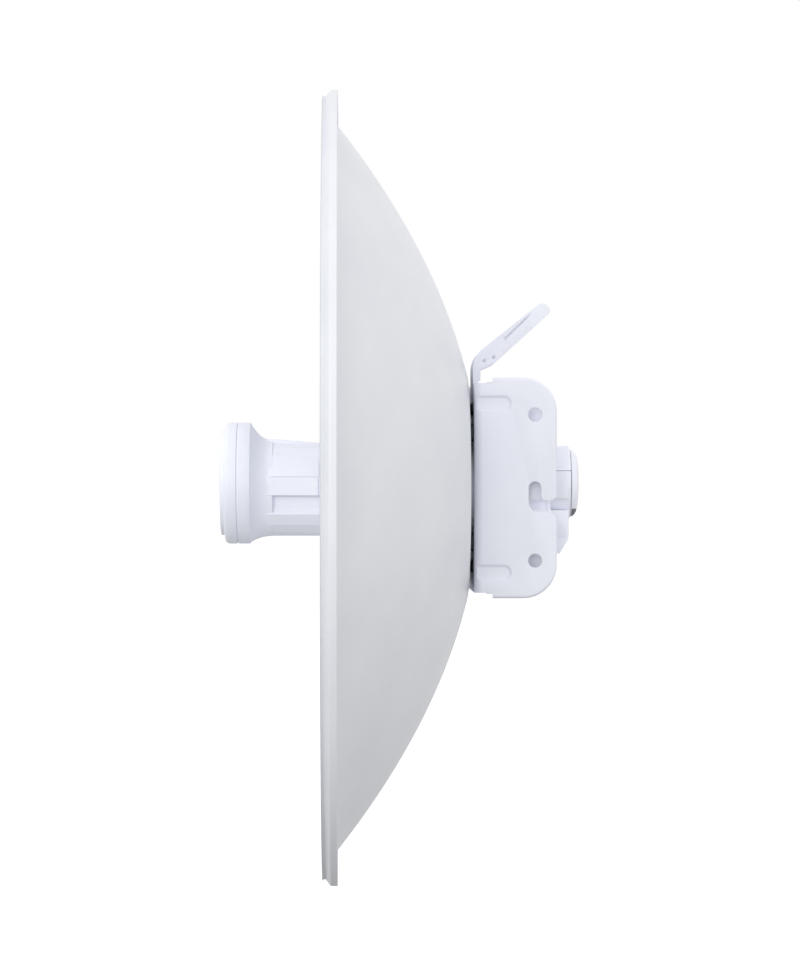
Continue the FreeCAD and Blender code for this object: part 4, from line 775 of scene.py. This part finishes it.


# ---- Barrel and end cap ----
# The barrel is the rear of the radio's casing, with the socket in its underside. The end cap is a
# domed moulding with a clear light guide and a silicone vent seal in its lower rim, on an O-ring. The
# seal's grey is painted shade, standing for the shade under the cap's rounded lower edge.
finished(eased("feed_rear_barrel", 0.3), "feed", "white_plastic", moulded_asa, "feed_rear_barrel", smooth=35)
cap_low, cap_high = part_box("feed_rear_cap")
barrel_axis_z = (cap_low.z + cap_high.z) / 2
cap_radius = cap_high.x
slider_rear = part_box("release_slider")[1].y
cap_front = slider_rear + 0.2 * MM
dome_start = cap_front + 0.3 * MM
dome_wide = 7.0 * MM
neck_bore = 15.9 * MM
dome_wall = 1.8 * MM
light_radius = 1.35 * MM
dome_steps = 16
end_cap_steps = 128
dome = []
for step in range(dome_steps + 1):
    lean = math.pi / 2 * step / dome_steps
    dome.append((cap_radius - dome_wide + dome_wide * math.cos(lean),
                 dome_start + (cap_high.y - dome_start) * math.sin(lean)))
end_cap = spun("end_cap", [(neck_bore, cap_front), (cap_radius - 0.2 * MM, cap_front)] + dome +
               [(0.0, cap_high.y), (0.0, cap_high.y - dome_wall), (neck_bore, cap_high.y - dome_wall)],
               0.0, barrel_axis_z, end_cap_steps)
light_low, light_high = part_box("led_light_guide")
light_z = (light_low.z + light_high.z) / 2
cut(end_cap, rod(light_radius, (0.0, cap_high.y - 3 * MM, light_z), (0.0, cap_high.y + MM, light_z)))
# Painted shade: the grey vent seal strip in the cap's lower rim stands for the shade under the cap.
vent_low, vent_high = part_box("vent_seal")
vent_seal = end_cap.copy()
vent_seal.data = end_cap.data.copy()
vent_seal.name = "vent_seal_painted_shade"
bpy.context.scene.collection.objects.link(vent_seal)
vent_middle = (0.0, vent_low.y + 1.4 * MM, vent_low.z)
vent_size = Vector((vent_high.x - vent_low.x, vent_high.y - vent_low.y, 2 * (vent_high.z - vent_low.z)))
seal_gap = 0.06 * MM
cut(end_cap, block(vent_middle, vent_size))
cut(vent_seal, block(vent_middle, vent_size - Vector((seal_gap, seal_gap, seal_gap))), "INTERSECT")
finished(end_cap, "feed", "white_plastic", moulded_asa, "feed_rear_cap", smooth=32)
# Grey silicone for the thermal pad; on the vent seal the grey is painted shade.
grey_silicone_and_cap_shade = matt_finish("grey_silicone_with_painted_shade", "6E7175", "7C7F83", 0.5, 0.7)
finished(vent_seal, "feed", "grey_rubber", grey_silicone_and_cap_shade, "vent_seal", smooth=32)

clear_acrylic, tree = new_material("clear_acrylic")
place = add_node(tree, "ShaderNodeTexCoord").outputs["Object"]
haze_mm = 1.2
haze = add_node(tree, "ShaderNodeTexNoise", {"Vector": place, "Scale": 1 / (haze_mm * MM)})
gloss = add_node(tree, "ShaderNodeMapRange", {"Value": haze.outputs["Fac"], "To Min": 0.04,
                                              "To Max": 0.16})
shader = add_node(tree, "ShaderNodeBsdfPrincipled",
                  {"Base Color": linear("EDF3F6"), "Roughness": gloss.outputs["Result"],
                   "Transmission Weight": 0.85, "IOR": 1.49})
add_node(tree, "ShaderNodeOutputMaterial", {"Surface": shader.outputs["BSDF"]})


# ---- Radio ----
# Glass-fibre boards under green solder mask, whose copper tracks show as paler lines, a tinned shield
# can, a grey thermal pad, a machined and finned aluminium spreader, a spun splash plate, and a black
# nylon socket and reset switch. They are hidden in the feed unless it is taken apart.
tinned_sheet = metal_finish("tinned_steel_sheet", "C6C7C8", "B9BBBD", 0.3, 0.5, (1.0, 0.1, 1.0), 0.01)
machined_aluminium = metal_finish("machined_aluminium", "D2D3D5", "C3C5C8", 0.34, 0.5,
                                  (1.0, 0.08, 1.0), 0.02)

solder_mask, tree = new_material("solder_mask_on_glass_fibre")
place = add_node(tree, "ShaderNodeTexCoord").outputs["Object"]
track_mm = 1.6
tracks = add_node(tree, "ShaderNodeTexBrick", {"Vector": place, "Scale": 1 / (track_mm * MM),
                                               "Color1": linear("1D5A3A"), "Color2": linear("1F6340"),
                                               "Mortar": linear("3D8A5C"), "Mortar Size": 0.06,
                                               "Brick Width": 3.0, "Row Height": 0.6})
relief = add_node(tree, "ShaderNodeBump", {"Height": tracks.outputs["Fac"], "Strength": 0.3,
                                           "Distance": 0.04 * MM})
shader = add_node(tree, "ShaderNodeBsdfPrincipled",
                  {"Base Color": tracks.outputs["Color"], "Roughness": 0.32,
                   "Normal": relief.outputs["Normal"], "Coat Weight": 0.5})
add_node(tree, "ShaderNodeOutputMaterial", {"Surface": shader.outputs["BSDF"]})

for node, material in (("feed_o_ring", nitrile_rubber), ("led_light_guide", clear_acrylic),
                       ("radio_board", solder_mask),
                       ("feed_element", solder_mask), ("shield_can", tinned_sheet),
                       ("thermal_pad", grey_silicone_and_cap_shade), ("heat_spreader", machined_aluminium),
                       ("subreflector_disc", machined_aluminium), ("ethernet_jack", dark_nylon_and_gap_shade),
                       ("reset_switch", dark_nylon_and_gap_shade), ("reset_button", moulded_asa)):
    coated(node, material)
